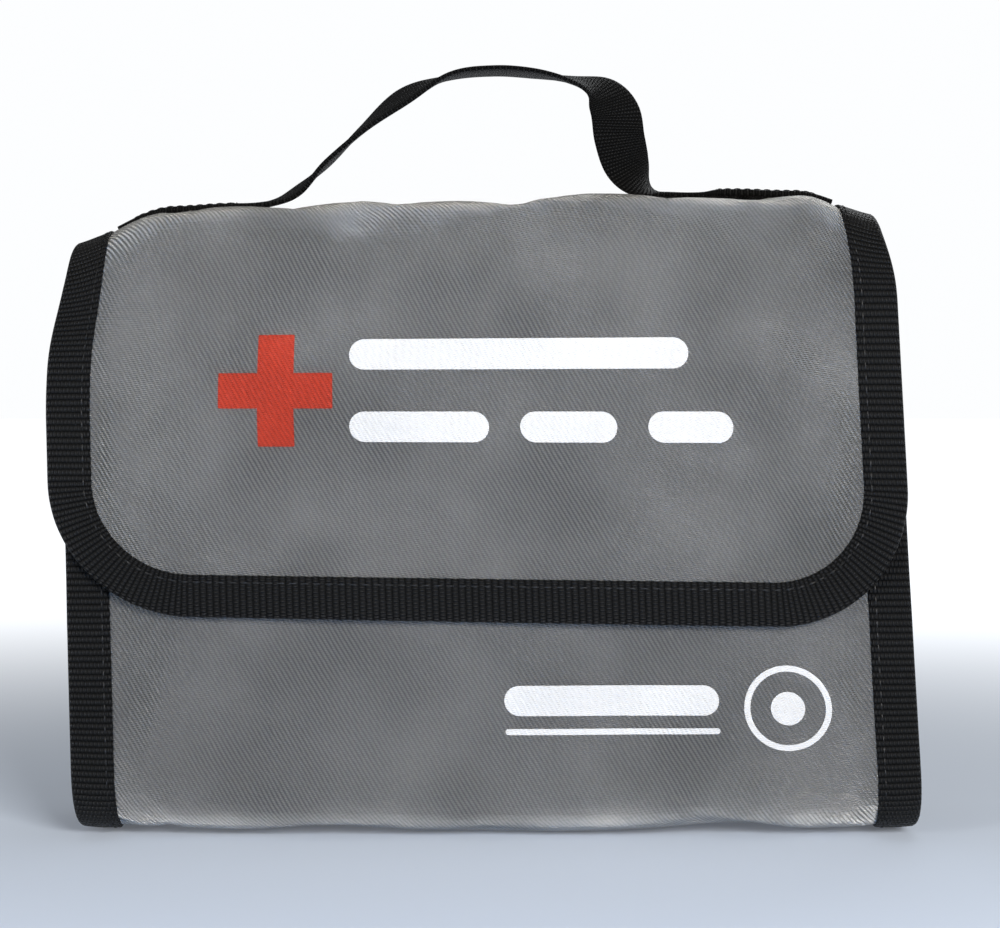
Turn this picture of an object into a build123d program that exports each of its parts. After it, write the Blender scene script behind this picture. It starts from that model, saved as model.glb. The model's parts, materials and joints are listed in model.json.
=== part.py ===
"""Soft first aid kit: a twill case with bound edges, a lid and a flap that fold back, and its supplies.

Millimetres, +Z up, the front faces -Y. The origin is under the middle of the case, on the plane that it
stands on, and every fold runs along X. The case, the lid and the flap are one strip of cloth on the real
object. Each is three nested layers, twill outside, then foam, then lining, with a binding tape folded round
the raw edges.
"""

import math
import os

from build123d import *

# ---------------------------------------------------------------- driving dimensions: the bag
WIDTH = 222.0  # over the side bindings
DEPTH = 70.0  # front twill to back twill
FOLD_HEIGHT = 150.0  # the two fold lines, case to lid and lid to flap
MOUTH_DROP = 11.0  # top of the front panel, below the fold lines
LID_RISE = 18.0  # top of the lid's twill, above the fold lines
FLAP_LENGTH = 92.0  # fold line to the flap's lower edge
BASE_RADIUS = 15.0  # outside, where the front and the back turn into the base
FLAP_CORNER_RADIUS = 33.0
FOLD_GAP = 0.4  # cloth left free at each fold line

TWILL = 0.8
FOAM = 1.6
LINING = 0.6
GUSSET = 1.6
TAPE = 0.8  # thickness of the binding tape on each face
TAPE_WIDTH = 11.5  # how far the tape reaches in from an edge
GUSSET_TAPE_WIDTH = 9.0
GUSSET_TAPE_CLEARANCE = 0.8  # between it and the panels in front and behind

FASTENER = 0.9  # thickness of the hook strip and of the loop strip
FASTENER_CLEARANCE = 0.2
HOOK_LENGTH, HOOK_HEIGHT = 120.0, 20.0
LOOP_MARGIN = 6.0  # how far the loop strip reaches past the hook strip
LOOP_RISE = 2.0  # the same, up and down
FASTENER_RADIUS = 2.0
FASTENER_ABOVE_TAPE = 3.0

# ---------------------------------------------------------------- driving dimensions: the handle
STRAP_WIDTH = 20.0
STRAP = 1.6
STRAP_CLEARANCE = 0.7  # under the standing feet of the loop
HANDLE_RISE = 38.5  # above the lid's twill
HANDLE_FOOT = 50.0  # middle of each foot, from the middle of the lid
HANDLE_FULLNESS = 0.8  # below 1 the loop is squarer than an ellipse
HANDLE_STEPS = 8  # in each half of the loop
STRAP_END_GAP = 2.0  # between a foot and the sewn strap end

# ---------------------------------------------------------------- driving dimensions: the prints
PRINT = 0.15
CROSS_SIZE = 30.0
CROSS_MARGIN = 29.5  # cross to the flap's tape
CROSS_DROP = 32.5  # middle of the cross below the fold line
TITLE_MARGIN = 4.0  # cross to the bars
TITLE_END_MARGIN = 36.5  # bars to the flap's tape
TITLE_RISE = 9.5  # each row of bars above or below the cross's middle
TITLE_ROWS = ((1, (0.89,)), (-1, (0.36, 0.25, 0.23)))  # up or down, and each bar's share of the room
TITLE_SPACE = 0.08  # between bars, as a share of the room
BAR_HEIGHT = 8.0
BADGE_DIAMETER = 23.0
BADGE_LINE = 1.6
BADGE_DOT = 9.0
BADGE_MARGIN = 11.0  # badge to the side binding
BADGE_UP = 35.0
BADGE_BAR = 56.0
BADGE_BAR_GAP = 6.5
BADGE_BAR_RISE = 2.0
BADGE_RULE_DROP = 9.5

# ---------------------------------------------------------------- driving dimensions: the pockets
TOOL_SLOT = 6.0  # room in front of the front divider
POCKET_DEPTH = 11.0  # room behind the back divider
DIVIDER = 0.5
DIVIDER_TAPE = 0.6
DIVIDER_TAPE_HEIGHT = 9.0
FRONT_DIVIDER_DROP = 73.0  # below the mouth
BACK_DIVIDER_DROP = 35.0

# ---------------------------------------------------------------- driving dimensions: the supplies
ITEM_GAP = 0.6  # between a packed supply and whatever is beside it
SUPPLY_DROP = 33.0  # top of the tall supplies below the mouth
ROLL_ROUNDING = 2.5
BANDAGE_WIDTH = 50.0
BANDAGE_SLACK = 2.0  # how much thinner the stacked bandages are than the tall roll
FOLDED_CLOTH_WIDTH = 30.0
TAPE_ROLL_WIDTH = 25.0
TAPE_CORE_BORE = 19.0
TAPE_CORE = 1.5
CARTON_HEIGHT = 95.0
CARTON_SHORTER = 10.0  # how much narrower the carton is than the blanket
GLOVE_PACKET_HEIGHT = 12.0
PACKET_ROUNDING = 3.0
PADS_WIDTH = 50.0
PADS_HEIGHT = 76.0
WIPES_WIDTH = 44.0
WIPES_HEIGHT = 62.0
COLD_PACK_DROP = 30.0  # top of the cold pack below the mouth
LEAFLET = 0.8
LEAFLET_DROP = 38.0

# ---------------------------------------------------------------- driving dimensions: the tools
BLADE = 1.5  # thickness of each scissor blade
BLADE_CLEARANCE = 0.1
BLADE_LENGTH = 46.0  # pivot to tip
BLADE_HALF_WIDTH = 4.2
TANG_WIDTH = 4.0
BOW_UP = 50.0  # middle of the finger rings above the pivot
BOW_ACROSS = 14.0
BOW_WIDTH, BOW_LENGTH = 26.0, 34.0
BOW_RIM = 3.6
BOW_THICKNESS = 4.2
BOW_COLLAR = 8.0  # how far the plastic reaches down the tang
BOW_COLLAR_START, BOW_COLLAR_END = 1.0, 9.0  # across the collar's lower end, from the middle
PIVOT_DIAMETER = 4.0
PIVOT_CLEARANCE = 0.06  # round the rivet, in each blade
PIVOT_HEAD_DIAMETER = 5.6
PIVOT_HEAD = 0.4
SCISSORS_ACROSS = -50.0
TWEEZERS_ACROSS = 45.0
TWEEZERS_LENGTH = 95.0
TWEEZERS_HEEL = 12.0
TWEEZERS_WIDTH = 4.4
TWEEZERS_ARM = 1.2
TWEEZERS_SPREAD = 5.5  # how far each arm bows out
TWEEZERS_TIP = 3.6  # how far each tip stands from the middle
TWEEZERS_CLEARANCE = 0.3

# ---------------------------------------------------------------- derived places
PANEL = TWILL + FOAM + LINING
FLAP_GAP = 2 * FASTENER + FASTENER_CLEARANCE  # flap lining to front twill
SIDE = WIDTH / 2
CLOTH_SIDE = SIDE - TAPE  # raw edge of the cloth, inside its binding
SEAM = SIDE - TAPE_WIDTH  # outer face of the side gussets
INNER_SIDE = SEAM - GUSSET
BACK = (DEPTH + FLAP_GAP + PANEL) / 2  # back twill, and as far in front the flap's twill
FLAP_FACE = -BACK
FLAP_INNER = FLAP_FACE + PANEL
FRONT = BACK - DEPTH  # front twill, behind the flap
INNER_FRONT = FRONT + PANEL
INNER_BACK = BACK - PANEL
MIDDLE = (FRONT + BACK) / 2
BASE = TAPE  # the bindings stand on the ground and hold the base's twill off it
INNER_BASE = BASE + PANEL
INNER_RADIUS = BASE_RADIUS - PANEL
MOUTH_HEIGHT = FOLD_HEIGHT - MOUTH_DROP
CLOTH_MOUTH = MOUTH_HEIGHT - TAPE
CASE_FOLD = FOLD_HEIGHT - FOLD_GAP / 2
LID_FOLD = FOLD_HEIGHT + FOLD_GAP / 2
CROWN_HEIGHT = FOLD_HEIGHT + LID_RISE
FLAP_BOTTOM = FOLD_HEIGHT - FLAP_LENGTH
BEYOND = 4 * max(WIDTH, CROWN_HEIGHT)  # a length that is past everything
SIDES = (("left", -1), ("right", 1))
# each layer's name and the insets of its two faces
LAYERS = (("twill", 0, TWILL), ("foam", TWILL, TWILL + FOAM), ("lining", TWILL + FOAM, PANEL))

os.makedirs("parts", exist_ok=True)


def write(builder, name):
    """Labels a finished sub-part and writes its STEP file."""
    builder.part.label = name
    export_step(builder.part, f"parts/{name}.step")
    print(name)


def facing_front(y):
    """The sketch plane at depth y whose extrusions run forwards, towards -Y."""
    return Plane.XZ.offset(-y)



# ---------------------------------------------------------------- outlines
def case_outline(inset):
    """The case's side outline, inset from its outer twill face: round below, and past every cut above."""
    low, front, back = BASE + inset, FRONT + inset, BACK - inset
    with BuildSketch() as outline:
        with Locations((MIDDLE, low + BEYOND / 2)):
            Rectangle(back - front, BEYOND)
        fillet(outline.vertices().group_by(Axis.Y)[0], BASE_RADIUS - inset)
    return outline.sketch_local


def case_layer(outer, inner, mouth, fold):
    """The U-shaped band between two insets, cut level at the mouth in front and at the fold behind."""
    outside, inside = case_outline(outer), case_outline(inner)
    with BuildSketch() as band:
        add(outside)
        add(inside, mode=Mode.SUBTRACT)
        with Locations((MIDDLE - BEYOND / 2, mouth + BEYOND)):
            Rectangle(BEYOND, 2 * BEYOND, mode=Mode.SUBTRACT)
        with Locations((MIDDLE + BEYOND / 2, fold + BEYOND)):
            Rectangle(BEYOND, 2 * BEYOND, mode=Mode.SUBTRACT)
    return band.sketch_local


def lid_outline(inset):
    """The lid's side outline, inset from its outer twill face: an arch that runs on below the fold lines."""
    top = CROWN_HEIGHT - inset
    with BuildSketch() as outline:
        with Locations((0, top - BEYOND / 2)):
            Rectangle(2 * (BACK - inset), BEYOND)
        fillet(outline.vertices().group_by(Axis.Y)[-1], LID_RISE - inset)
    return outline.sketch_local


def lid_layer(outer, inner):
    """The arched band between two insets, cut level just above the fold lines."""
    outside, inside = lid_outline(outer), lid_outline(inner)
    with BuildSketch() as band:
        add(outside)
        add(inside, mode=Mode.SUBTRACT)
        with Locations((0, LID_FOLD - BEYOND)):
            Rectangle(BEYOND, 2 * BEYOND, mode=Mode.SUBTRACT)
    return band.sketch_local


def flap_outline(inset):
    """The flap's front outline, inset from the tape's edge: square at the fold, round below."""
    low = FLAP_BOTTOM + inset
    with BuildSketch() as outline:
        with Locations((0, (low + CASE_FOLD) / 2)):
            Rectangle(2 * (SIDE - inset), CASE_FOLD - low)
        fillet(outline.vertices().group_by(Axis.Y)[0], FLAP_CORNER_RADIUS - inset)
    return outline.sketch_local


# ---------------------------------------------------------------- case and lid: cloth layers
for layer_name, outer, inner in LAYERS:
    case_profile = case_layer(outer, inner, CLOTH_MOUTH, CASE_FOLD)
    with BuildPart() as case_cloth:
        with BuildSketch(Plane.YZ):
            add(case_profile)
        extrude(amount=CLOTH_SIDE, both=True)
    write(case_cloth, f"case_{layer_name}")

    lid_profile = lid_layer(outer, inner)
    with BuildPart() as lid_cloth:
        with BuildSketch(Plane.YZ):
            add(lid_profile)
        extrude(amount=CLOTH_SIDE, both=True)
    write(lid_cloth, f"lid_{layer_name}")

# ---------------------------------------------------------------- case and lid: gussets and bindings
gusset_profile = case_outline(PANEL)
case_tape = case_layer(-TAPE, PANEL + TAPE, MOUTH_HEIGHT, CASE_FOLD)
case_edge = case_layer(0, PANEL, CLOTH_MOUTH, CASE_FOLD)
lid_tape = lid_layer(-TAPE, PANEL + TAPE)
lid_edge = lid_layer(0, PANEL)
gusset_tape_half = (INNER_BACK - INNER_FRONT) / 2 - TAPE - GUSSET_TAPE_CLEARANCE

for side_name, side in SIDES:
    seam = Plane.YZ.offset(side * SEAM)

    with BuildPart() as gusset:
        with BuildSketch(seam):
            add(gusset_profile)
            with Locations((MIDDLE, CLOTH_MOUTH + BEYOND)):
                Rectangle(BEYOND, 2 * BEYOND, mode=Mode.SUBTRACT)
        extrude(amount=-side * GUSSET)
    write(gusset, f"{side_name}_gusset")

    gusset_middle = side * (SEAM - GUSSET / 2)
    with BuildPart() as gusset_binding:
        with BuildSketch(facing_front(MIDDLE)):
            with Locations((gusset_middle, MOUTH_HEIGHT - GUSSET_TAPE_WIDTH / 2)):
                Rectangle(GUSSET + 2 * TAPE, GUSSET_TAPE_WIDTH)
            with Locations((gusset_middle, CLOTH_MOUTH - GUSSET_TAPE_WIDTH / 2)):
                Rectangle(GUSSET, GUSSET_TAPE_WIDTH, mode=Mode.SUBTRACT)
        extrude(amount=gusset_tape_half, both=True)
    write(gusset_binding, f"{side_name}_gusset_binding")

    for panel_name, over, under in (("edge", case_tape, case_edge), ("lid", lid_tape, lid_edge)):
        with BuildPart() as side_binding:
            with BuildSketch(seam):
                add(over)
            extrude(amount=side * TAPE_WIDTH)
            with BuildSketch(seam):
                add(under)
            extrude(amount=side * (TAPE_WIDTH - TAPE), mode=Mode.SUBTRACT)
        write(side_binding, f"{side_name}_{panel_name}_binding")

mouth_middle = (FRONT + INNER_FRONT) / 2
with BuildPart() as mouth_binding:
    with BuildSketch(Plane.YZ):
        with Locations((mouth_middle, MOUTH_HEIGHT - TAPE_WIDTH / 2)):
            Rectangle(PANEL + 2 * TAPE, TAPE_WIDTH)
        with Locations((mouth_middle, CLOTH_MOUTH - TAPE_WIDTH / 2)):
            Rectangle(PANEL, TAPE_WIDTH, mode=Mode.SUBTRACT)
    extrude(amount=INNER_SIDE - 2 * TAPE, both=True)
write(mouth_binding, "mouth_binding")

# ---------------------------------------------------------------- flap
flap_edge, flap_cloth, flap_window = flap_outline(0), flap_outline(TAPE), flap_outline(TAPE_WIDTH)
for layer_name, outer, inner in LAYERS:
    with BuildPart() as flap_layer:
        with BuildSketch(facing_front(FLAP_FACE + inner)):
            add(flap_cloth)
        extrude(amount=inner - outer)
    write(flap_layer, f"flap_{layer_name}")

with BuildPart() as flap_binding:
    with BuildSketch(facing_front(FLAP_INNER + TAPE)):
        add(flap_edge)
        add(flap_window, mode=Mode.SUBTRACT)
    extrude(amount=PANEL + 2 * TAPE)
    with BuildSketch(facing_front(FLAP_INNER)):
        add(flap_cloth)
    extrude(amount=PANEL, mode=Mode.SUBTRACT)
write(flap_binding, "flap_binding")

# ---------------------------------------------------------------- hook and loop fastener
fastener_height = FLAP_BOTTOM + TAPE_WIDTH + FASTENER_ABOVE_TAPE + HOOK_HEIGHT / 2
with BuildPart() as loop_strip:
    with BuildSketch(facing_front(FRONT)):
        with Locations((0, fastener_height)):
            RectangleRounded(HOOK_LENGTH + 2 * LOOP_MARGIN, HOOK_HEIGHT + 2 * LOOP_RISE, FASTENER_RADIUS)
    extrude(amount=FASTENER)
write(loop_strip, "loop_strip")

with BuildPart() as hook_strip:
    with BuildSketch(facing_front(FLAP_INNER + FASTENER)):
        with Locations((0, fastener_height)):
            RectangleRounded(HOOK_LENGTH, HOOK_HEIGHT, FASTENER_RADIUS)
    extrude(amount=FASTENER)
write(hook_strip, "hook_strip")

# ---------------------------------------------------------------- transfer prints
cross_across = CROSS_MARGIN + CROSS_SIZE / 2 - SEAM
cross_up = FOLD_HEIGHT - CROSS_DROP
with BuildPart() as cross_print:
    with BuildSketch(facing_front(FLAP_FACE)):
        with Locations((cross_across, cross_up)):
            Rectangle(CROSS_SIZE, CROSS_SIZE / 3)
            Rectangle(CROSS_SIZE / 3, CROSS_SIZE)
    extrude(amount=PRINT)
write(cross_print, "cross_print")

title_start = cross_across + CROSS_SIZE / 2 + TITLE_MARGIN
title_room = SEAM - TITLE_END_MARGIN - title_start
with BuildPart() as title_print:
    with BuildSketch(facing_front(FLAP_FACE)):
        for row, bar_shares in TITLE_ROWS:
            bar_start = title_start
            for bar_share in bar_shares:
                with Locations((bar_start + bar_share * title_room / 2, cross_up + row * TITLE_RISE)):
                    SlotOverall(bar_share * title_room, BAR_HEIGHT)
                bar_start += (bar_share + TITLE_SPACE) * title_room
    extrude(amount=PRINT)
write(title_print, "title_print")

badge_across = SEAM - BADGE_MARGIN - BADGE_DIAMETER / 2
badge_bar_across = badge_across - BADGE_DIAMETER / 2 - BADGE_BAR_GAP - BADGE_BAR / 2
with BuildPart() as corner_print:
    with BuildSketch(facing_front(FRONT)):
        with Locations((badge_across, BADGE_UP)):
            Circle(BADGE_DIAMETER / 2)
            Circle(BADGE_DIAMETER / 2 - BADGE_LINE, mode=Mode.SUBTRACT)
            Circle(BADGE_DOT / 2)
        with Locations((badge_bar_across, BADGE_UP + BADGE_BAR_RISE)):
            SlotOverall(BADGE_BAR, BAR_HEIGHT)
        with Locations((badge_bar_across, BADGE_UP - BADGE_RULE_DROP)):
            SlotOverall(BADGE_BAR, BADGE_LINE)
    extrude(amount=PRINT)
write(corner_print, "corner_print")

# ---------------------------------------------------------------- handle
strap_end_start = HANDLE_FOOT + STRAP_WIDTH / 2 + STRAP_END_GAP
for side_name, side in SIDES:
    with BuildPart() as strap_end:
        with BuildSketch(Plane.XY.offset(CROWN_HEIGHT)):
            with Locations((side * (strap_end_start + SEAM) / 2, 0)):
                Rectangle(SEAM - strap_end_start, STRAP_WIDTH)
        extrude(amount=STRAP)
    write(strap_end, f"{side_name}_strap_end")


def handle_section(share, side):
    """The loop's section plane at a share of the way from a foot (0) to the middle of its top (1).

    The centre line is an arch, straight up at the foot and level at the top. The webbing faces the front at
    the foot, and has made a quarter turn by the time that it is level. The slow turn lets the loop lie down
    on either side of the lid.
    """
    turn = math.pi / 2 * share
    foot = CROWN_HEIGHT + STRAP_CLEARANCE
    rise = HANDLE_RISE - STRAP_CLEARANCE - STRAP / 2
    across = side * HANDLE_FOOT * max(math.cos(turn), 0.0) ** HANDLE_FULLNESS
    centre = Vector(across, 0, foot + rise * math.sin(turn))
    along = Vector(-side * math.sin(turn), 0, math.cos(turn))
    outwards = Vector(side * math.cos(turn), 0, math.sin(turn))
    wide = outwards * math.cos(turn) + Vector(0, 1, 0) * math.sin(turn)
    return Plane(origin=centre, x_dir=wide, z_dir=along)


with BuildPart() as handle_strap:
    for side_name, side in SIDES:
        for step in range(HANDLE_STEPS + 1):
            with BuildSketch(handle_section(step / HANDLE_STEPS, side)):
                Rectangle(STRAP_WIDTH, STRAP)
        loft(ruled=True)
write(handle_strap, "handle_strap")


# ---------------------------------------------------------------- pockets
def floor_at(y):
    """Height of the lining's inner face at depth y, on the flat base or up one of its two round corners."""
    past = max(INNER_FRONT + INNER_RADIUS - y, y - INNER_BACK + INNER_RADIUS, 0.0)
    return INNER_BASE + INNER_RADIUS - math.sqrt(INNER_RADIUS**2 - past**2)


def standing_on(y_low, y_high):
    """Height at which something between two depths clears the lining under it."""
    return max(floor_at(y_low), floor_at(y_high)) + ITEM_GAP


front_divider_face = INNER_FRONT + TOOL_SLOT + DIVIDER_TAPE
back_divider_face = INNER_BACK - POCKET_DEPTH - DIVIDER_TAPE - DIVIDER
for divider_name, divider_face, drop in (
    ("front", front_divider_face, FRONT_DIVIDER_DROP),
    ("back", back_divider_face, BACK_DIVIDER_DROP),
):
    divider_middle = divider_face + DIVIDER / 2
    divider_low = max(floor_at(divider_face), floor_at(divider_face + DIVIDER))
    divider_top = MOUTH_HEIGHT - drop
    with BuildPart() as divider:
        with BuildSketch(facing_front(divider_face + DIVIDER)):
            with Locations((0, (divider_low + divider_top) / 2)):
                Rectangle(2 * INNER_SIDE, divider_top - divider_low)
        extrude(amount=DIVIDER)
    write(divider, f"{divider_name}_divider")

    with BuildPart() as divider_binding:
        with BuildSketch(Plane.YZ):
            with Locations((divider_middle, divider_top + DIVIDER_TAPE - DIVIDER_TAPE_HEIGHT / 2)):
                Rectangle(DIVIDER + 2 * DIVIDER_TAPE, DIVIDER_TAPE_HEIGHT)
            with Locations((divider_middle, divider_top - DIVIDER_TAPE_HEIGHT / 2)):
                Rectangle(DIVIDER, DIVIDER_TAPE_HEIGHT, mode=Mode.SUBTRACT)
        extrude(amount=INNER_SIDE, both=True)
    write(divider_binding, f"{divider_name}_divider_binding")

# ---------------------------------------------------------------- supplies in the middle room
room_front = front_divider_face + DIVIDER + DIVIDER_TAPE + ITEM_GAP
room_back = back_divider_face - DIVIDER_TAPE - ITEM_GAP
room_middle = (room_front + room_back) / 2
room_left, room_right = ITEM_GAP - INNER_SIDE, INNER_SIDE - ITEM_GAP
room_floor = standing_on(room_front, room_back)
supply_top = MOUTH_HEIGHT - SUPPLY_DROP
roll_radius = (room_back - room_front) / 2
bandage_radius = roll_radius - BANDAGE_SLACK / 2


def wound_roll(name, across, radius, low, high):
    """A bandage wound round a vertical axis, with soft edges."""
    with BuildPart() as roll:
        with BuildSketch(Plane.XY.offset(low)):
            with Locations((across, room_middle)):
                Circle(radius)
        extrude(amount=high - low)
        fillet(roll.edges().filter_by(GeomType.CIRCLE), ROLL_ROUNDING)
    write(roll, name)


def packet(name, x, y, z, rounding):
    """A closed pack that fills three spans, each a pair of low and high."""
    with BuildPart() as pack:
        with BuildSketch(Plane.XY.offset(z[0])):
            with Locations(((x[0] + x[1]) / 2, (y[0] + y[1]) / 2)):
                Rectangle(x[1] - x[0], y[1] - y[0])
        extrude(amount=z[1] - z[0])
        if rounding:
            fillet(pack.edges(), rounding)
    write(pack, name)


wound_roll("elastic_bandage", room_left + roll_radius, roll_radius, room_floor, supply_top)
stack_across = room_left + 2 * roll_radius + ITEM_GAP + bandage_radius
stack_middle = room_floor + BANDAGE_WIDTH
wound_roll("cohesive_bandage", stack_across, bandage_radius, room_floor, stack_middle)
wound_roll("gauze_bandage", stack_across, bandage_radius, stack_middle + ITEM_GAP, supply_top)

cloth_left = room_right - FOLDED_CLOTH_WIDTH
tape_roll_radius = roll_radius
tape_roll_middle = cloth_left + FOLDED_CLOTH_WIDTH / 2
tape_roll_up = room_floor + tape_roll_radius
for roll_name, inner_radius, outer_radius in (
    ("tape_core", TAPE_CORE_BORE / 2, TAPE_CORE_BORE / 2 + TAPE_CORE),
    ("tape_roll", TAPE_CORE_BORE / 2 + TAPE_CORE, tape_roll_radius),
):
    with BuildPart() as winding:
        with BuildSketch(Plane.YZ.offset(tape_roll_middle)):
            with Locations((room_middle, tape_roll_up)):
                Circle(outer_radius)
                Circle(inner_radius, mode=Mode.SUBTRACT)
        extrude(amount=TAPE_ROLL_WIDTH / 2, both=True)
    write(winding, roll_name)

cloth_low = room_floor + 2 * tape_roll_radius + ITEM_GAP
packet(
    "triangular_bandage",
    (cloth_left, room_right),
    (room_front, room_back),
    (cloth_low, supply_top),
    PACKET_ROUNDING,
)

box_left = stack_across + bandage_radius + ITEM_GAP
box_right = cloth_left - ITEM_GAP
carton_back = room_middle - ITEM_GAP / 2
packet(
    "plaster_carton",
    (box_left, box_right - CARTON_SHORTER),
    (room_front, carton_back),
    (room_floor, room_floor + CARTON_HEIGHT),
    0,
)
packet(
    "foil_blanket",
    (box_left, box_right),
    (carton_back + ITEM_GAP, room_back),
    (room_floor, supply_top),
    PACKET_ROUNDING,
)
glove_low = max(supply_top, room_floor + CARTON_HEIGHT) + ITEM_GAP
packet(
    "glove_packet",
    (box_left, box_right),
    (room_front, room_back),
    (glove_low, glove_low + GLOVE_PACKET_HEIGHT),
    PACKET_ROUNDING,
)

# ---------------------------------------------------------------- supplies in the back pocket
pocket_front = INNER_BACK - POCKET_DEPTH + ITEM_GAP
pocket_back = INNER_BACK - ITEM_GAP
pocket_floor = standing_on(pocket_front, pocket_back)
pads_right = room_right - WIPES_WIDTH - ITEM_GAP
pads_left = pads_right - PADS_WIDTH
packet_front = pocket_front + LEAFLET + ITEM_GAP
packet(
    "cold_pack",
    (room_left, pads_left - ITEM_GAP),
    (pocket_front, pocket_back),
    (pocket_floor, MOUTH_HEIGHT - COLD_PACK_DROP),
    PACKET_ROUNDING,
)
packet(
    "gauze_pads",
    (pads_left, pads_right),
    (packet_front, pocket_back),
    (pocket_floor, pocket_floor + PADS_HEIGHT),
    0,
)
packet(
    "wipes_packet",
    (pads_right + ITEM_GAP, room_right),
    (packet_front, pocket_back),
    (pocket_floor, pocket_floor + WIPES_HEIGHT),
    PACKET_ROUNDING,
)
packet(
    "guide_leaflet",
    (pads_left, room_right),
    (pocket_front, pocket_front + LEAFLET),
    (pocket_floor, MOUTH_HEIGHT - LEAFLET_DROP),
    0,
)

# ---------------------------------------------------------------- scissors
slot_front = INNER_FRONT + TAPE  # the mouth's binding hangs into the slot
slot_back = INNER_FRONT + TOOL_SLOT
slot_middle = (slot_front + slot_back) / 2
scissors_floor = standing_on(slot_middle - BOW_THICKNESS / 2, slot_back)
pivot_up = scissors_floor + BLADE_LENGTH
blade_offset = BLADE_CLEARANCE / 2
tang_end = BOW_UP - BOW_LENGTH / 2 + BOW_RIM / 2


def blade_outline(hand):
    """One lever of the closed scissors: a blade below the pivot and a tang that leans out to its ring."""
    half = BLADE_HALF_WIDTH
    with BuildSketch() as outline:
        with Locations((SCISSORS_ACROSS, pivot_up)):
            Circle(half)
        with BuildLine():
            Polyline(
                (SCISSORS_ACROSS - hand * half, pivot_up),
                (SCISSORS_ACROSS - hand * half / 2, pivot_up - BLADE_LENGTH + half),
                (SCISSORS_ACROSS, pivot_up - BLADE_LENGTH),
                (SCISSORS_ACROSS + hand * half / 2, pivot_up - BLADE_LENGTH + half),
                (SCISSORS_ACROSS + hand * half, pivot_up),
                close=True,
            )
        make_face()
        with BuildLine():
            Polyline(
                (SCISSORS_ACROSS - hand * half / 2, pivot_up),
                (SCISSORS_ACROSS + hand * (BOW_ACROSS - TANG_WIDTH) / 2, pivot_up + tang_end),
                (SCISSORS_ACROSS + hand * (BOW_ACROSS + TANG_WIDTH) / 2, pivot_up + tang_end),
                (SCISSORS_ACROSS + hand * half, pivot_up),
                close=True,
            )
        make_face()
    return outline.sketch_local


def bow_outline(hand):
    """One finger ring, an oval rim with a collar that reaches down over the tang."""
    ring = (SCISSORS_ACROSS + hand * BOW_ACROSS, pivot_up + BOW_UP)
    collar_low = pivot_up + tang_end - BOW_COLLAR
    collar_high = pivot_up + BOW_UP - BOW_LENGTH / 4
    with BuildSketch() as outline:
        with Locations(ring):
            Ellipse(BOW_WIDTH / 2, BOW_LENGTH / 2)
        with BuildLine():
            Polyline(
                (SCISSORS_ACROSS + hand * BOW_COLLAR_START, collar_low),
                (SCISSORS_ACROSS + hand * BOW_COLLAR_START, collar_high),
                (SCISSORS_ACROSS + hand * BOW_ACROSS, collar_high),
                (SCISSORS_ACROSS + hand * BOW_ACROSS, pivot_up + tang_end),
                (SCISSORS_ACROSS + hand * BOW_COLLAR_END, collar_low),
                close=True,
            )
        make_face()
        with Locations(ring):
            Ellipse(BOW_WIDTH / 2 - BOW_RIM, BOW_LENGTH / 2 - BOW_RIM, mode=Mode.SUBTRACT)
    return outline.sketch_local


for hand_name, hand, blade_front in (
    ("front", 1, slot_middle - blade_offset - BLADE),
    ("back", -1, slot_middle + blade_offset),
):
    lever = blade_outline(hand)
    bow = bow_outline(hand)
    with BuildPart() as blade:
        with BuildSketch(facing_front(blade_front + BLADE)):
            add(lever)
            with Locations((SCISSORS_ACROSS, pivot_up)):
                Circle(PIVOT_DIAMETER / 2 + PIVOT_CLEARANCE, mode=Mode.SUBTRACT)
        extrude(amount=BLADE)
    write(blade, f"scissors_{hand_name}_blade")

    with BuildPart() as finger_bow:
        with BuildSketch(facing_front(slot_middle + BOW_THICKNESS / 2)):
            add(bow)
        extrude(amount=BOW_THICKNESS)
        with BuildSketch(facing_front(blade_front + BLADE)):
            add(lever)
        extrude(amount=BLADE, mode=Mode.SUBTRACT)
    write(finger_bow, f"scissors_{hand_name}_bow")

pivot_half = blade_offset + BLADE
with BuildPart() as scissors_rivet:
    with BuildSketch(facing_front(slot_middle)):
        with Locations((SCISSORS_ACROSS, pivot_up)):
            Circle(PIVOT_DIAMETER / 2)
    extrude(amount=pivot_half, both=True)
    for head_face in (slot_middle - pivot_half, slot_middle + pivot_half + PIVOT_HEAD):
        with BuildSketch(facing_front(head_face)):
            with Locations((SCISSORS_ACROSS, pivot_up)):
                Circle(PIVOT_HEAD_DIAMETER / 2)
        extrude(amount=PIVOT_HEAD)
write(scissors_rivet, "scissors_rivet")

# ---------------------------------------------------------------- tweezers
tweezers_floor = standing_on(slot_middle - TWEEZERS_WIDTH / 2, slot_back)
tweezers_top = tweezers_floor + TWEEZERS_LENGTH
heel_low = tweezers_top - TWEEZERS_HEEL
bow_height = tweezers_floor + TWEEZERS_LENGTH / 2


def arm_outline(side, top):
    """One arm of the tweezers: bowed out from under the heel and back in to a tip."""
    inner = (
        (0, top),
        (TWEEZERS_SPREAD, bow_height),
        (TWEEZERS_TIP, tweezers_floor),
    )
    with BuildSketch() as outline:
        with BuildLine():
            Polyline(
                *[(TWEEZERS_ACROSS + side * across, up) for across, up in inner],
                *[(TWEEZERS_ACROSS + side * (across + TWEEZERS_ARM), up) for across, up in reversed(inner)],
                close=True,
            )
        make_face()
    return outline.sketch_local


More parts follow.
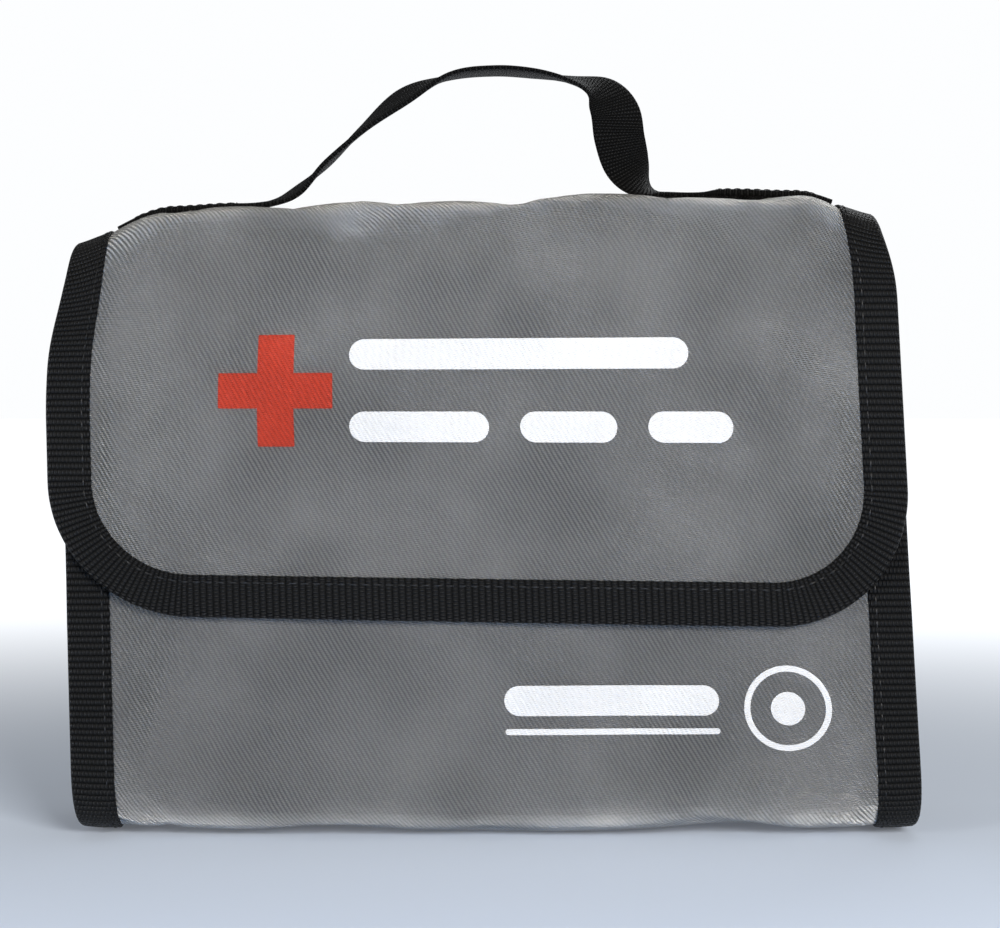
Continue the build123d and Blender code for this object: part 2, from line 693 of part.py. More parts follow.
for side_name, side in SIDES:
    arm = arm_outline(side, heel_low - (TWEEZERS_CLEARANCE if side > 0 else 0))
    with BuildPart() as tweezers_arm:
        with BuildSketch(facing_front(slot_middle + TWEEZERS_WIDTH / 2)):
            add(arm)
            if side < 0:
                with Locations((TWEEZERS_ACROSS, (heel_low + tweezers_top) / 2)):
                    Rectangle(2 * TWEEZERS_ARM, TWEEZERS_HEEL)
        extrude(amount=TWEEZERS_WIDTH)
    write(tweezers_arm, f"tweezers_{side_name}_arm")
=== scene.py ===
# %% [markdown]
# # A soft first aid kit, made as cloth on a form
#
# The real kit is one long strip of coated twill. It runs down the front, under the base, up the back, over
# the top and down again as the flap. So this lesson makes one flat pattern of that strip, with x across it
# and s along it, and one function that wraps the flat pattern round the bag. Every panel, binding, print
# and stitch is drawn flat and wrapped by the same function, which is why they all fit each other.

# %% Load the frame
import json
import math

import bmesh
import bpy
import numpy as np
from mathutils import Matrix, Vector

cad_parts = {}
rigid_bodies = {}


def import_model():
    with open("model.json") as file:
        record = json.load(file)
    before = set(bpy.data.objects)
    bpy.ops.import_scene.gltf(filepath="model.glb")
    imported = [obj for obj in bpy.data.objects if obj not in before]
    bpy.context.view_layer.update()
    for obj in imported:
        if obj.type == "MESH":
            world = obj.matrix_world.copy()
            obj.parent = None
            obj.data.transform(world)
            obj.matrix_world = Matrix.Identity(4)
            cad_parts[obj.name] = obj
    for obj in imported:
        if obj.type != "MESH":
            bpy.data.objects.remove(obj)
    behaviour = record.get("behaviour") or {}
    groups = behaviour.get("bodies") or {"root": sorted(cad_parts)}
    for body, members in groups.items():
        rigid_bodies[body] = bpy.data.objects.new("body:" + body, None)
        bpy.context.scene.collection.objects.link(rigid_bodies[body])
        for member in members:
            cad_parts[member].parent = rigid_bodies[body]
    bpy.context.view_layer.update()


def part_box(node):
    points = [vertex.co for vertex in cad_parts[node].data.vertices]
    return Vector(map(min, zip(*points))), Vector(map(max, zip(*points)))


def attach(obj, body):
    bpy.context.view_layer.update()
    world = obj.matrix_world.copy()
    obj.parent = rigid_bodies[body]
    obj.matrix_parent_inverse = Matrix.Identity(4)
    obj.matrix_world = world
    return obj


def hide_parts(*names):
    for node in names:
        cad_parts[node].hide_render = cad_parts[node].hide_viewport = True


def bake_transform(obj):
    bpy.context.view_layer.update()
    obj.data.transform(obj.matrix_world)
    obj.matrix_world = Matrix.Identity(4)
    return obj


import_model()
MM = 0.001

# %% [markdown]
# ## Sizes
#
# The frame already holds the real sizes, so each number here is read from a part's box: how wide the strip
# is, where it turns, and how thick its layers are. Only what the frame cannot say is written as a number.

# %% Read the sizes from the frame
case_low, case_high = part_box("case_twill")
lid_low, lid_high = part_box("lid_twill")
flap_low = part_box("flap_twill")[0]
edge_low, edge_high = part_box("right_edge_binding")
lining_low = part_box("case_lining")[0]
flap_tape_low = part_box("flap_binding")[0]

FRONT, BACK, BASE = case_low.y, case_high.y, case_low.z
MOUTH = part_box("right_gusset")[1].z
CROWN, FLAP_FACE = lid_high.z, flap_low.y
FOLD = (case_high.z + lid_low.z) / 2
CLOTH_HALF, TAPE_HALF = case_high.x, edge_high.x
TAPE = TAPE_HALF - CLOTH_HALF
TAPE_WIDTH = edge_high.x - edge_low.x
FLAP_END = flap_tape_low.z
PANEL = lining_low.z - BASE + 0.6 * MM
LINING = 0.6 * MM
BASE_RADIUS, LID_RADIUS, FLAP_RADIUS = 15 * MM, CROWN - FOLD, 36 * MM
print("panel", round(PANEL / MM, 2), "mm thick, tape", round(TAPE_WIDTH / MM, 1), "mm wide")

# %% [markdown]
# ## The strip's path
#
# Seen from the side the strip is a line that goes down, turns, runs along the base, and so on. Such a line
# is easiest to make from its heading: a straight stretch keeps the heading, and an arc changes it evenly.
# The heading is then smoothed, since cloth never starts to bend at a point, and added up into a line.

# %% The path from its heading
STEP = 0.25 * MM


def smoothed(values, window):
    """A running mean, twice, with the ends held, so that every corner eases in and out."""
    half = int(window / STEP / 2)
    kernel = np.ones(2 * half + 1) / (2 * half + 1)
    for _ in range(2):
        values = np.convolve(np.pad(values, half, mode="edge"), kernel, mode="valid")
    return values


SPARE = 5 * MM
runs = [
    (MOUTH + SPARE - BASE - BASE_RADIUS, None),
    (BACK - FRONT - 2 * BASE_RADIUS, BASE_RADIUS),
    (CROWN - BASE - BASE_RADIUS - LID_RADIUS, BASE_RADIUS),
    (2 * BACK - 2 * LID_RADIUS, LID_RADIUS),
    (CROWN - LID_RADIUS - FLAP_END - TAPE + SPARE, LID_RADIUS),
]
knots, headings = [0.0], [-math.pi / 2]
for run, radius in runs:
    if radius:
        knots.append(knots[-1] + radius * math.pi / 2)
        headings.append(headings[-1] + math.pi / 2)
    knots.append(knots[-1] + run)
    headings.append(headings[-1])

path_s = np.arange(0, knots[-1] + STEP, STEP) - SPARE
path_heading = smoothed(np.interp(path_s, np.array(knots) - SPARE, headings), 7 * MM)
path_y = FRONT + np.concatenate([[0], np.cumsum(np.cos(path_heading[:-1]))]) * STEP
path_z = MOUTH + SPARE + np.concatenate([[0], np.cumsum(np.sin(path_heading[:-1]))]) * STEP
STRIP_END = path_s[-1] - SPARE
LID_MIDDLE = (knots[7] + knots[6]) / 2 - SPARE
on_flap_s = path_s[path_s > LID_MIDDLE]
on_flap_z = path_z[path_s > LID_MIDDLE]
print("strip", round(STRIP_END / MM), "mm long, lid's middle at", round(LID_MIDDLE / MM))

# %% [markdown]
# ## Swell and settling
#
# A packed bag isn't flat: each face domes out a little, and the whole bag leans and sags. The dome is a
# formula that is largest in the middle of a face and zero at the bindings. Long soft waves are added,
# because the light on coated cloth shows them more than anything else. Settling moves finished points:
# the top leans to the left, its left corner droops, and the base rests on its middle.

# %% Swell, waves and settling
puff_table = None


def hat(value, low, high):
    """A smooth hump over a span: sin squared from 0 at low through 1 halfway to 0 at high."""
    return np.sin(np.pi * np.clip((value - low) / (high - low), 0, 1)) ** 2


def step_up(value, low, high):
    """Smoothstep: 0 below low, 1 above high, and 3t^2 - 2t^3 between."""
    t = np.clip((value - low) / (high - low), 0, 1)
    return t * t * (3 - 2 * t)


def crease(x, z, start, end, width, depth):
    """A soft ridge along a line: depth times exp(-(distance / width)^2), fading out at the line's two
    ends."""
    along = np.array(end) - np.array(start)
    length = np.hypot(*along)
    t = ((x - start[0]) * along[0] + (z - start[1]) * along[1]) / length**2
    off = ((x - start[0]) * along[1] - (z - start[1]) * along[0]) / length
    return depth * np.exp(-((off / width) ** 2)) * hat(t, -0.15, 1.15)


def waves(x, s):
    """Long shallow waves: a sum of four sines of different lengths and slants."""
    return (
        0.48 * np.sin(2 * np.pi * (x / 0.095 + s / 0.071) + 0.6)
        + 0.30 * np.sin(2 * np.pi * (x / 0.052 - s / 0.085) + 2.1)
        + 0.14 * np.sin(2 * np.pi * (x / 0.033 + s / 0.110) + 4.0)
        + 0.12 * np.sin(2 * np.pi * (x / 0.120 - s / 0.030) + 1.3)
    ) * MM


def from_binding(x, s):
    """Distance in the flat pattern to the nearest binding's inner edge; the flap's round
    corners are a circle's."""
    side = CLOTH_HALF + TAPE - TAPE_WIDTH - np.abs(x)
    end = STRIP_END + TAPE - TAPE_WIDTH - s
    radius = FLAP_RADIUS - TAPE_WIDTH
    corner = radius - np.hypot(np.clip(radius - side, 0, None), np.clip(radius - end, 0, None))
    on_flap = s > LID_MIDDLE
    return np.where(
        on_flap, np.minimum(np.minimum(side, end), corner), np.minimum(side, s + TAPE - TAPE_WIDTH)
    )


def own_swell(x, s):
    """How far the cloth stands off its path by itself: a dome for each face, waves, creases, a quick rise
    away from the bindings as 1 - exp(-distance / 6 mm), and gathers that fade away from them as
    exp(-distance / 7 mm)."""
    y, z = np.interp(s, path_s, path_y), np.interp(s, path_s, path_z)
    heading = np.interp(s, path_s, path_heading)
    facing_y, facing_z = np.sin(heading), -np.cos(heading)
    across = np.clip(1 - (x / (CLOTH_HALF - TAPE_WIDTH)) ** 2, 0, 1)
    front = np.clip(-facing_y, 0, 1) ** 2 * across * hat(z, -0.03, 0.18)
    behind = np.clip(facing_y, 0, 1) ** 2 * across * hat(z, -0.01, 0.17)
    above = np.clip(facing_z, 0, 1) ** 2 * across * hat(y, -0.05, 0.05)
    below = np.clip(-facing_z, 0, 1) ** 2 * across
    on_flap = step_up(s, LID_MIDDLE, LID_MIDDLE + 0.05)
    dome = (2.2 * front + 3.0 * behind + 0.4 * above + 0.75 * below + 0.5 * on_flap * across) * MM
    lower = np.clip(-facing_y, 0, 1) * (1 - on_flap)
    pinches = lower * (
        crease(x, z, (-0.078, 0.066), (-0.094, 0.010), 3.5 * MM, 1.3 * MM)
        + crease(x, z, (-0.070, 0.040), (-0.088, 0.016), 5 * MM, -0.7 * MM)
        + crease(x, z, (0.086, 0.052), (0.098, 0.014), 4 * MM, 0.9 * MM)
    ) + on_flap * (
        crease(x, z, (-0.096, 0.146), (-0.055, 0.128), 5 * MM, 0.8 * MM)
        + crease(x, z, (0.045, 0.150), (0.092, 0.120), 6 * MM, 0.9 * MM)
        + crease(x, z, (-0.092, 0.100), (-0.060, 0.074), 6 * MM, 0.7 * MM)
    )
    inwards = np.clip(from_binding(x, s), 0, None)
    ripple = np.sin(2 * np.pi * s / 0.0093 + 1.5 * np.sign(x)) + 0.6 * np.sin(2 * np.pi * s / 0.0061)
    gathers = 0.12 * MM * ripple * np.exp(-inwards / (7 * MM)) * (1 + 2.5 * (z < 0.03)) * (inwards > 0)
    rise = 1.3 * MM * (1 - np.exp(-((inwards / (6 * MM)) ** 1.5))) * np.clip(np.abs(facing_y), 0, 1)
    slow = np.clip(inwards / (20 * MM), 0, 1)
    total = dome + waves(x, s) * slow + pinches + gathers + rise
    if puff_table is not None:
        total = total + looked_up(puff_table, x, s)
    return total - np.clip(total - 0.7 * MM, 0, None) * np.clip(-facing_z, 0, 1)


def swell(x, s):
    """The cloth's own swell, except that the front wall under the flap is never prouder than
    the flap on it allows."""
    own = own_swell(x, s)
    z = np.interp(s, path_s, path_z)
    covered = step_up(z, FLAP_END + 2 * MM, FLAP_END + 14 * MM) * (s < MOUTH - FLAP_END)
    flap_s = np.interp(-z, -on_flap_z, on_flap_s)
    return own + covered * (np.minimum(own, own_swell(x, flap_s)) - 0.4 * MM - own)


def settled(points):
    """Leans and sags finished points: x slides with height, z tilts with x, the lid's two top corners
    droop and pull in because nothing inside holds them up, and the base's ends lift."""
    x, y, z = points[..., 0], points[..., 1], points[..., 2]
    high = z / CROWN
    lean = -0.040 * (z - 0.055)
    narrow = x * (0.010 - 0.030 * high)
    tilt = 0.024 * x * np.clip(high, 0, 1.1) ** 1.5
    left = step_up(-x, 0.082, 0.113) * step_up(z, 0.125, 0.168)
    right = step_up(x, 0.088, 0.112) * step_up(z, 0.140, 0.168)
    droop = -8.5 * MM * left - 6.0 * MM * right
    pulled = 3.0 * MM * left - 2.0 * MM * right
    lift = 2.6 * MM * (x / TAPE_HALF) ** 2 * (1 - step_up(z, 0.0, 0.05))
    return np.stack([x + lean + narrow + pulled, y, z + tilt + droop + lift], -1)


def flap_hang(x, s):
    """The flap hangs a little crooked: it grows 3.4 mm to the left, fully by 35 mm below its fold, and
    its free edge is pulled up on the left and down on the right. Returns where a flat point goes."""
    down = step_up(s, knots[8] - SPARE - 12 * MM, knots[8] - SPARE + 40 * MM)
    shorter = (0.6 * MM - 0.022 * x) * np.clip((s - LID_MIDDLE) / (STRIP_END - LID_MIDDLE), 0, 1)
    return x - 3.4 * MM * down * (TAPE_HALF - x) / (2 * TAPE_HALF), s - shorter * (s > LID_MIDDLE)


def on_strip(x, s, h):
    """Wraps flat pattern points: the path at s, plus x across, plus h and the swell along the path's
    normal."""
    x, s, h = np.broadcast_arrays(x, s, h)
    off = h + swell(x, s)
    x, s = flap_hang(x, s)
    heading = np.interp(s, path_s, path_heading)
    y = np.interp(s, path_s, path_y) + off * np.sin(heading)
    z = np.interp(s, path_s, path_z) - off * np.cos(heading)
    return settled(np.stack([x, y, z], -1))


# %% [markdown]
# ## Grids into meshes
#
# A surface is a grid of points, computed all at once. A patch holds such a grid with its faces and its
# UVs, which are real lengths in metres so that a weave keeps its pitch. Several patches make one piece:
# their shared edges are welded, holes are closed, and the faces are turned outwards.


# %% Patches and pieces
def patch(points, uv, close_rows=False, close_cols=False):
    """A grid of points (rows, cols, 3) as points, quads and a UV for each quad corner, closed round if
    asked. The UV grid has one more row or column than the points where that side closes."""
    rows, cols = points.shape[:2]
    i, j = np.meshgrid(
        np.arange(rows - (not close_rows)), np.arange(cols - (not close_cols)), indexing="ij"
    )
    ci = np.stack([i, i, i + 1, i + 1], -1).reshape(-1, 4)
    cj = np.stack([j, j + 1, j + 1, j], -1).reshape(-1, 4)
    return points.reshape(-1, 3), (ci % rows) * cols + cj % cols, uv[ci, cj]


def piece_from(name, patches, material, body=None, smooth=True):
    """Joins patches, welds their doubles, fills their ends, turns faces outwards, and makes the object."""
    starts = np.cumsum([0] + [len(p[0]) for p in patches[:-1]])
    points = np.concatenate([p[0] for p in patches])
    faces = np.concatenate([p[1] + start for p, start in zip(patches, starts)])
    uvs = np.concatenate([p[2] for p in patches])
    mesh = bpy.data.meshes.new(name)
    mesh.from_pydata(points.tolist(), [], faces.tolist())
    mesh.uv_layers.new(name="cloth").data.foreach_set("uv", uvs.reshape(-1).astype(np.float32))
    work = bmesh.new()
    work.from_mesh(mesh)
    bmesh.ops.remove_doubles(work, verts=work.verts, dist=2e-6)
    ends = [e for e in work.edges if e.is_boundary]
    if ends:
        bmesh.ops.holes_fill(work, edges=ends)
    bmesh.ops.recalc_face_normals(work, faces=work.faces)
    if work.calc_volume(signed=True) < 0:
        bmesh.ops.reverse_faces(work, faces=work.faces)
    work.to_mesh(mesh)
    work.free()
    mesh.polygons.foreach_set("use_smooth", np.full(len(mesh.polygons), smooth))
    mesh.set_sharp_from_angle(angle=math.radians(48))
    mesh.materials.append(material)
    mesh.update()
    made = bpy.data.objects.new(name, mesh)
    bpy.context.collection.objects.link(made)
    if body:
        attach(made, body)
    return made


def flat_uv(x, s):
    """A UV grid that is the flat pattern itself, in metres."""
    return np.stack(np.broadcast_arrays(x, s), -1)


def slab(outer, inner, uv):
    """Two grids and the four rims between them: a closed sheet with a thickness."""
    sides = [patch(outer, uv), patch(inner[::-1], uv[::-1])]
    for cut in (np.s_[0], np.s_[-1], np.s_[:, 0], np.s_[:, -1]):
        sides.append(patch(np.stack([outer[cut], inner[cut]]), np.stack([uv[cut], uv[cut]])))
    return sides


# %% [markdown]
# ## Materials
#
# Four finishes make up the bag: coated twill, ribbed binding tape, plain lining cloth and transfer
# prints. A weave is an effect that several of them share, so it is a node group that is built once. The
# groups give out only heights and masks. The shader itself stays in each material.


# %% Node helpers
def node_tree_for(name):
    """A new material with only a Principled shader and its output. Returns the material,
    its tree and the shader."""
    material = bpy.data.materials.new(name)
    material.use_nodes = True
    tree = material.node_tree
    shader = next(n for n in tree.nodes if n.type == "BSDF_PRINCIPLED")
    return material, tree, shader


def math_node(tree, operation, a, b=None):
    """One Math node; each input is a number or another node's output."""
    node = tree.nodes.new("ShaderNodeMath")
    node.operation = operation
    for socket, value in zip(node.inputs, (a, b)):
        if value is None:
            continue
        if isinstance(value, (int, float)):
            socket.default_value = value
        else:
            tree.links.new(value, socket)
    return node.outputs[0]


def group_of(name, inputs, outputs):
    """An empty shader node group with named float or vector sockets."""
    group = bpy.data.node_groups.new(name, "ShaderNodeTree")
    for socket, kind, value in inputs:
        made = group.interface.new_socket(socket, in_out="INPUT", socket_type=kind)
        if kind == "NodeSocketFloat":
            made.default_value = value
    for socket, kind in outputs:
        group.interface.new_socket(socket, in_out="OUTPUT", socket_type=kind)
    return group, group.nodes.new("NodeGroupInput"), group.nodes.new("NodeGroupOutput")


def wave_of(tree, coordinate, pitch):
    """0.5 + 0.5 sin(2 pi coordinate / pitch)."""
    turns = math_node(tree, "DIVIDE", coordinate, pitch)
    sine = math_node(tree, "SINE", math_node(tree, "MULTIPLY", turns, 2 * math.pi))
    return math_node(tree, "ADD", math_node(tree, "MULTIPLY", sine, 0.5), 0.5)


# %% The twill group: slanted ribs crossed by fine yarns
FLOAT, VECTOR = "NodeSocketFloat", "NodeSocketVector"
twill_group, group_in, group_out = group_of(
    "twill_weave",
    [("UV", VECTOR, None), ("Rib Pitch", FLOAT, 1.05 * MM), ("Yarn Pitch", FLOAT, 0.52 * MM)],
    [("Height", FLOAT), ("Groove", FLOAT)],
)
split = twill_group.nodes.new("ShaderNodeSeparateXYZ")
twill_group.links.new(group_in.outputs["UV"], split.inputs[0])


def slanted(degrees):
    """The distance across lines that slant by an angle: x sin(angle) - y cos(angle)."""
    turn = math.radians(degrees)
    along_x = math_node(twill_group, "MULTIPLY", split.outputs[0], math.sin(turn))
    return math_node(
        twill_group, "SUBTRACT", along_x,
        math_node(twill_group, "MULTIPLY", split.outputs[1], math.cos(turn))
    )


wander = twill_group.nodes.new("ShaderNodeTexNoise")
wander.inputs["Scale"].default_value = 55
twill_group.links.new(group_in.outputs["UV"], wander.inputs["Vector"])
wandering = math_node(twill_group, "MULTIPLY", wander.outputs[0], 0.9 * MM)
ribs = wave_of(
    twill_group, math_node(twill_group, "ADD", slanted(61), wandering), group_in.outputs["Rib Pitch"]
)
yarns = wave_of(twill_group, slanted(8), group_in.outputs["Yarn Pitch"])
uneven = twill_group.nodes.new("ShaderNodeTexNoise")
uneven.inputs["Scale"].default_value = 900
uneven.inputs["Detail"].default_value = 2
twill_group.links.new(group_in.outputs["UV"], uneven.inputs["Vector"])
patchy = twill_group.nodes.new("ShaderNodeTexNoise")
patchy.inputs["Scale"].default_value = 28
twill_group.links.new(group_in.outputs["UV"], patchy.inputs["Vector"])
strength = math_node(twill_group, "ADD", math_node(twill_group, "MULTIPLY", patchy.outputs[0], 1.5), -0.25)
yarn_part = math_node(
    twill_group, "MULTIPLY", math_node(twill_group, "MULTIPLY", yarns, uneven.outputs[0]), 0.75
)
rib_part = math_node(twill_group, "MULTIPLY", math_node(twill_group, "MULTIPLY", ribs, strength), 0.75)
twill_group.links.new(math_node(twill_group, "ADD", rib_part, yarn_part), group_out.inputs["Height"])
# The Groove mask puts painted shade into the base colour of every material that uses it, and it also raises
# the roughness.
rib_groove = math_node(twill_group, "POWER", math_node(twill_group, "SUBTRACT", 1.0, ribs), 1.6)
yarn_groove = math_node(twill_group, "SUBTRACT", 1.0, yarn_part)
both = math_node(
    twill_group, "ADD",
    math_node(twill_group, "MULTIPLY", math_node(twill_group, "MULTIPLY", rib_groove, strength), 0.55),
    math_node(twill_group, "MULTIPLY", yarn_groove, 0.45),
)
twill_group.links.new(both, group_out.inputs["Groove"])
print("twill group", len(twill_group.nodes), "nodes")

# %% The tape group: ribs across a tape, each a row of small lumps
tape_group, group_in, group_out = group_of(
    "tape_ribs",
    [("UV", VECTOR, None), ("Rib Pitch", FLOAT, 1.7 * MM), ("Lump Pitch", FLOAT, 1.0 * MM)],
    [("Height", FLOAT), ("Groove", FLOAT)],
)
split = tape_group.nodes.new("ShaderNodeSeparateXYZ")
tape_group.links.new(group_in.outputs["UV"], split.inputs[0])
rib_turns = math_node(tape_group, "DIVIDE", split.outputs[1], group_in.outputs["Rib Pitch"])
odd_rib = math_node(tape_group, "MODULO", math_node(tape_group, "FLOOR", rib_turns), 2.0)
shift = math_node(
    tape_group, "MULTIPLY", odd_rib,
    math_node(tape_group, "MULTIPLY", group_in.outputs["Lump Pitch"], 0.5)
)
rib_sine = math_node(tape_group, "SINE", math_node(tape_group, "MULTIPLY", rib_turns, math.pi))
rib_arch = math_node(tape_group, "POWER", math_node(tape_group, "ABSOLUTE", rib_sine), 0.6)
lumps_at = math_node(tape_group, "ADD", split.outputs[0], shift)
lumps = wave_of(tape_group, lumps_at, group_in.outputs["Lump Pitch"])
lump_part = math_node(tape_group, "ADD", math_node(tape_group, "MULTIPLY", lumps, 0.55), 0.45)
height = math_node(tape_group, "MULTIPLY", rib_arch, lump_part)
tape_group.links.new(height, group_out.inputs["Height"])
# Groove puts painted shade between the lumps in the base colour and leaves the lumps as painted highlights;
# it also raises the roughness.
tape_group.links.new(math_node(tape_group, "SUBTRACT", 1.0, height), group_out.inputs["Groove"])
print("tape group", len(tape_group.nodes), "nodes")

# %% The wear group: slow uneven fading and fine dust
wear_group, group_in, group_out = group_of(
    "cloth_wear",
    [("Position", VECTOR, None), ("Patch Size", FLOAT, 25 * MM)],
    [("Fading", FLOAT), ("Dust", FLOAT)],
)
slow = wear_group.nodes.new("ShaderNodeTexNoise")
slow.inputs["Detail"].default_value = 3
wear_group.links.new(group_in.outputs["Position"], slow.inputs["Vector"])
wear_group.links.new(
    math_node(wear_group, "DIVIDE", 1.0, group_in.outputs["Patch Size"]), slow.inputs["Scale"]
)
wear_group.links.new(slow.outputs[0], group_out.inputs["Fading"])
fine = wear_group.nodes.new("ShaderNodeTexNoise")
fine.inputs["Scale"].default_value = 2500
fine.inputs["Detail"].default_value = 2
wear_group.links.new(group_in.outputs["Position"], fine.inputs["Vector"])
specks = math_node(wear_group, "POWER", fine.outputs[0], 6.0)
wear_group.links.new(specks, group_out.inputs["Dust"])


# %% A cloth material from a weave group
def cloth(name, weave, light, groove_shade, roughness, bump, sheen=0.0, metallic=0.0, pitches=None, specular=0.5):
    """Principled cloth: the base colour is painted highlight and painted shade, lighter on the raised yarns
    and with painted shade in the grooves, and it fades slowly at random; the weave and the slow fading
    drive roughness, dust lightens the colour in specks, and the weave's height drives a Bump node in
    metres."""
    material, tree, shader = node_tree_for(name)
    uv = tree.nodes.new("ShaderNodeUVMap")
    uv.uv_map = "cloth"
    place = tree.nodes.new("ShaderNodeTexCoord")
    woven = tree.nodes.new("ShaderNodeGroup")
    woven.node_tree = weave
    tree.links.new(uv.outputs[0], woven.inputs["UV"])
    for socket, pitch in (pitches or {}).items():
        woven.inputs[socket].default_value = pitch
    worn = tree.nodes.new("ShaderNodeGroup")
    worn.node_tree = wear_group
    tree.links.new(place.outputs["Object"], worn.inputs["Position"])
    # Painted highlight and painted shade: the Groove mask mixes the lit colour on the raised yarns into the
    # groove shade colour in the grooves.
    mix = tree.nodes.new("ShaderNodeMix")
    mix.data_type = "RGBA"
    mix.inputs["A"].default_value = (*light, 1)
    mix.inputs["B"].default_value = (*groove_shade, 1)
    tree.links.new(woven.outputs["Groove"], mix.inputs["Factor"])
    fade = tree.nodes.new("ShaderNodeHueSaturation")
    value = math_node(tree, "ADD", math_node(tree, "MULTIPLY", worn.outputs["Fading"], 0.24), 0.88)
    dusty = math_node(tree, "ADD", value, math_node(tree, "MULTIPLY", worn.outputs["Dust"], 0.5))
    tree.links.new(dusty, fade.inputs["Value"])
    tree.links.new(mix.outputs["Result"], fade.inputs["Color"])
    tree.links.new(fade.outputs[0], shader.inputs["Base Color"])
    rough = math_node(
        tree, "ADD", math_node(tree, "MULTIPLY", woven.outputs["Groove"], 0.18), roughness - 0.05
    )
    rough = math_node(tree, "ADD", rough, math_node(tree, "MULTIPLY", worn.outputs["Fading"], 0.10))
    tree.links.new(rough, shader.inputs["Roughness"])
    bumped = tree.nodes.new("ShaderNodeBump")
    bumped.inputs["Distance"].default_value = bump
    tree.links.new(woven.outputs["Height"], bumped.inputs["Height"])
    tree.links.new(bumped.outputs[0], shader.inputs["Normal"])
    shader.inputs["Sheen Weight"].default_value = sheen
    shader.inputs["Metallic"].default_value = metallic
    shader.inputs["Specular IOR Level"].default_value = specular
    return material


def gray(value):
    """A neutral colour."""
    return (value, value, value)


# Each pair of colours below is painted light: the first is painted highlight on the raised yarns and lumps,
# the second is painted shade in the grooves. The black tapes and the webbing get most of their texture this
# way.
twill = cloth(
    "coated_twill", twill_group, (0.37, 0.365, 0.35), (0.075, 0.077, 0.08), 0.28, 1.3 * MM, specular=0.6,
    metallic=0.6
)
tape = cloth("ribbed_tape", tape_group, gray(0.0125), gray(0.0003), 0.38, 1.2 * MM, specular=0.09)
webbing = cloth(
    "handle_webbing", tape_group, gray(0.0045), gray(0.0003), 0.46, 0.8 * MM, specular=0.07,
    pitches={"Rib Pitch": 0.8 * MM, "Lump Pitch": 1.3 * MM},
)
lining_cloth = cloth(
    "lining_cloth", tape_group, gray(0.060), gray(0.025), 0.60, 0.06 * MM,
    pitches={"Rib Pitch": 0.5 * MM, "Lump Pitch": 0.5 * MM},
)
thread = cloth("sewing_thread", tape_group, gray(0.0060), gray(0.0030), 0.45, 0.04 * MM, specular=0.15)
red_print = cloth(
    "red_print", twill_group, (0.46, 0.034, 0.010), (0.28, 0.018, 0.007), 0.36, 1.0 * MM, specular=0.5
)
white_print = cloth(
    "white_print", twill_group, (0.42, 0.415, 0.405), (0.38, 0.375, 0.365), 0.45, 0.3 * MM, specular=0.25
)
loop_tape = cloth("loop_tape", tape_group, gray(0.030), gray(0.010), 0.85, 0.25 * MM, sheen=0.5)
hook_tape = cloth(
    "hook_tape", tape_group, gray(0.018), gray(0.004), 0.40, 0.40 * MM,
    pitches={"Rib Pitch": 1.2 * MM, "Lump Pitch": 1.2 * MM},
)
print("materials", len(bpy.data.materials))

# %% [markdown]
# ## Letting the cloth find its puff
#
# Formulas give the main shape, and a cloth simulation adds what is hard to write down: the small pull
# and pucker of cloth that is sewn down all round and pushed out from inside. The strip is simulated
# once as a coarse sheet, held at its seams, with a little air behind it and cut a shade too large.
# What it moved along its normal is kept as a table over the flat pattern, and the swell function
# looks it up from then on.

# %% Simulate the strip and keep its puff
PUFF_CELL = 3.0 * MM


def looked_up(table, x, s):
    """Catmull-Rom bicubic lookup in the puff table: four weights each way from the cubic basis, sixteen
    taps."""
    u = np.clip((x + CLOTH_HALF) / PUFF_CELL, 0, table.shape[1] - 1.001)
    v = np.clip(s / PUFF_CELL, 0, table.shape[0] - 1.001)
    iu, iv = np.floor(u).astype(int), np.floor(v).astype(int)
    tu, tv = u - iu, v - iv
    total = 0.0
    for a in range(-1, 3):
        for b in range(-1, 3):
            row = np.clip(iv + a, 0, table.shape[0] - 1)
            col = np.clip(iu + b, 0, table.shape[1] - 1)
            total = total + table[row, col] * cubic_weight(tv - a) * cubic_weight(tu - b)
    return total


def cubic_weight(t):
    """The Catmull-Rom kernel: 1.5t^3 - 2.5t^2 + 1 inside 1, and -0.5t^3 + 2.5t^2 - 4t + 2 from 1 to 2."""
    t = np.abs(t)
    return np.where(
        t < 1, 1.5 * t**3 - 2.5 * t**2 + 1, np.where(t < 2, -0.5 * t**3 + 2.5 * t**2 - 4 * t + 2, 0)
    )


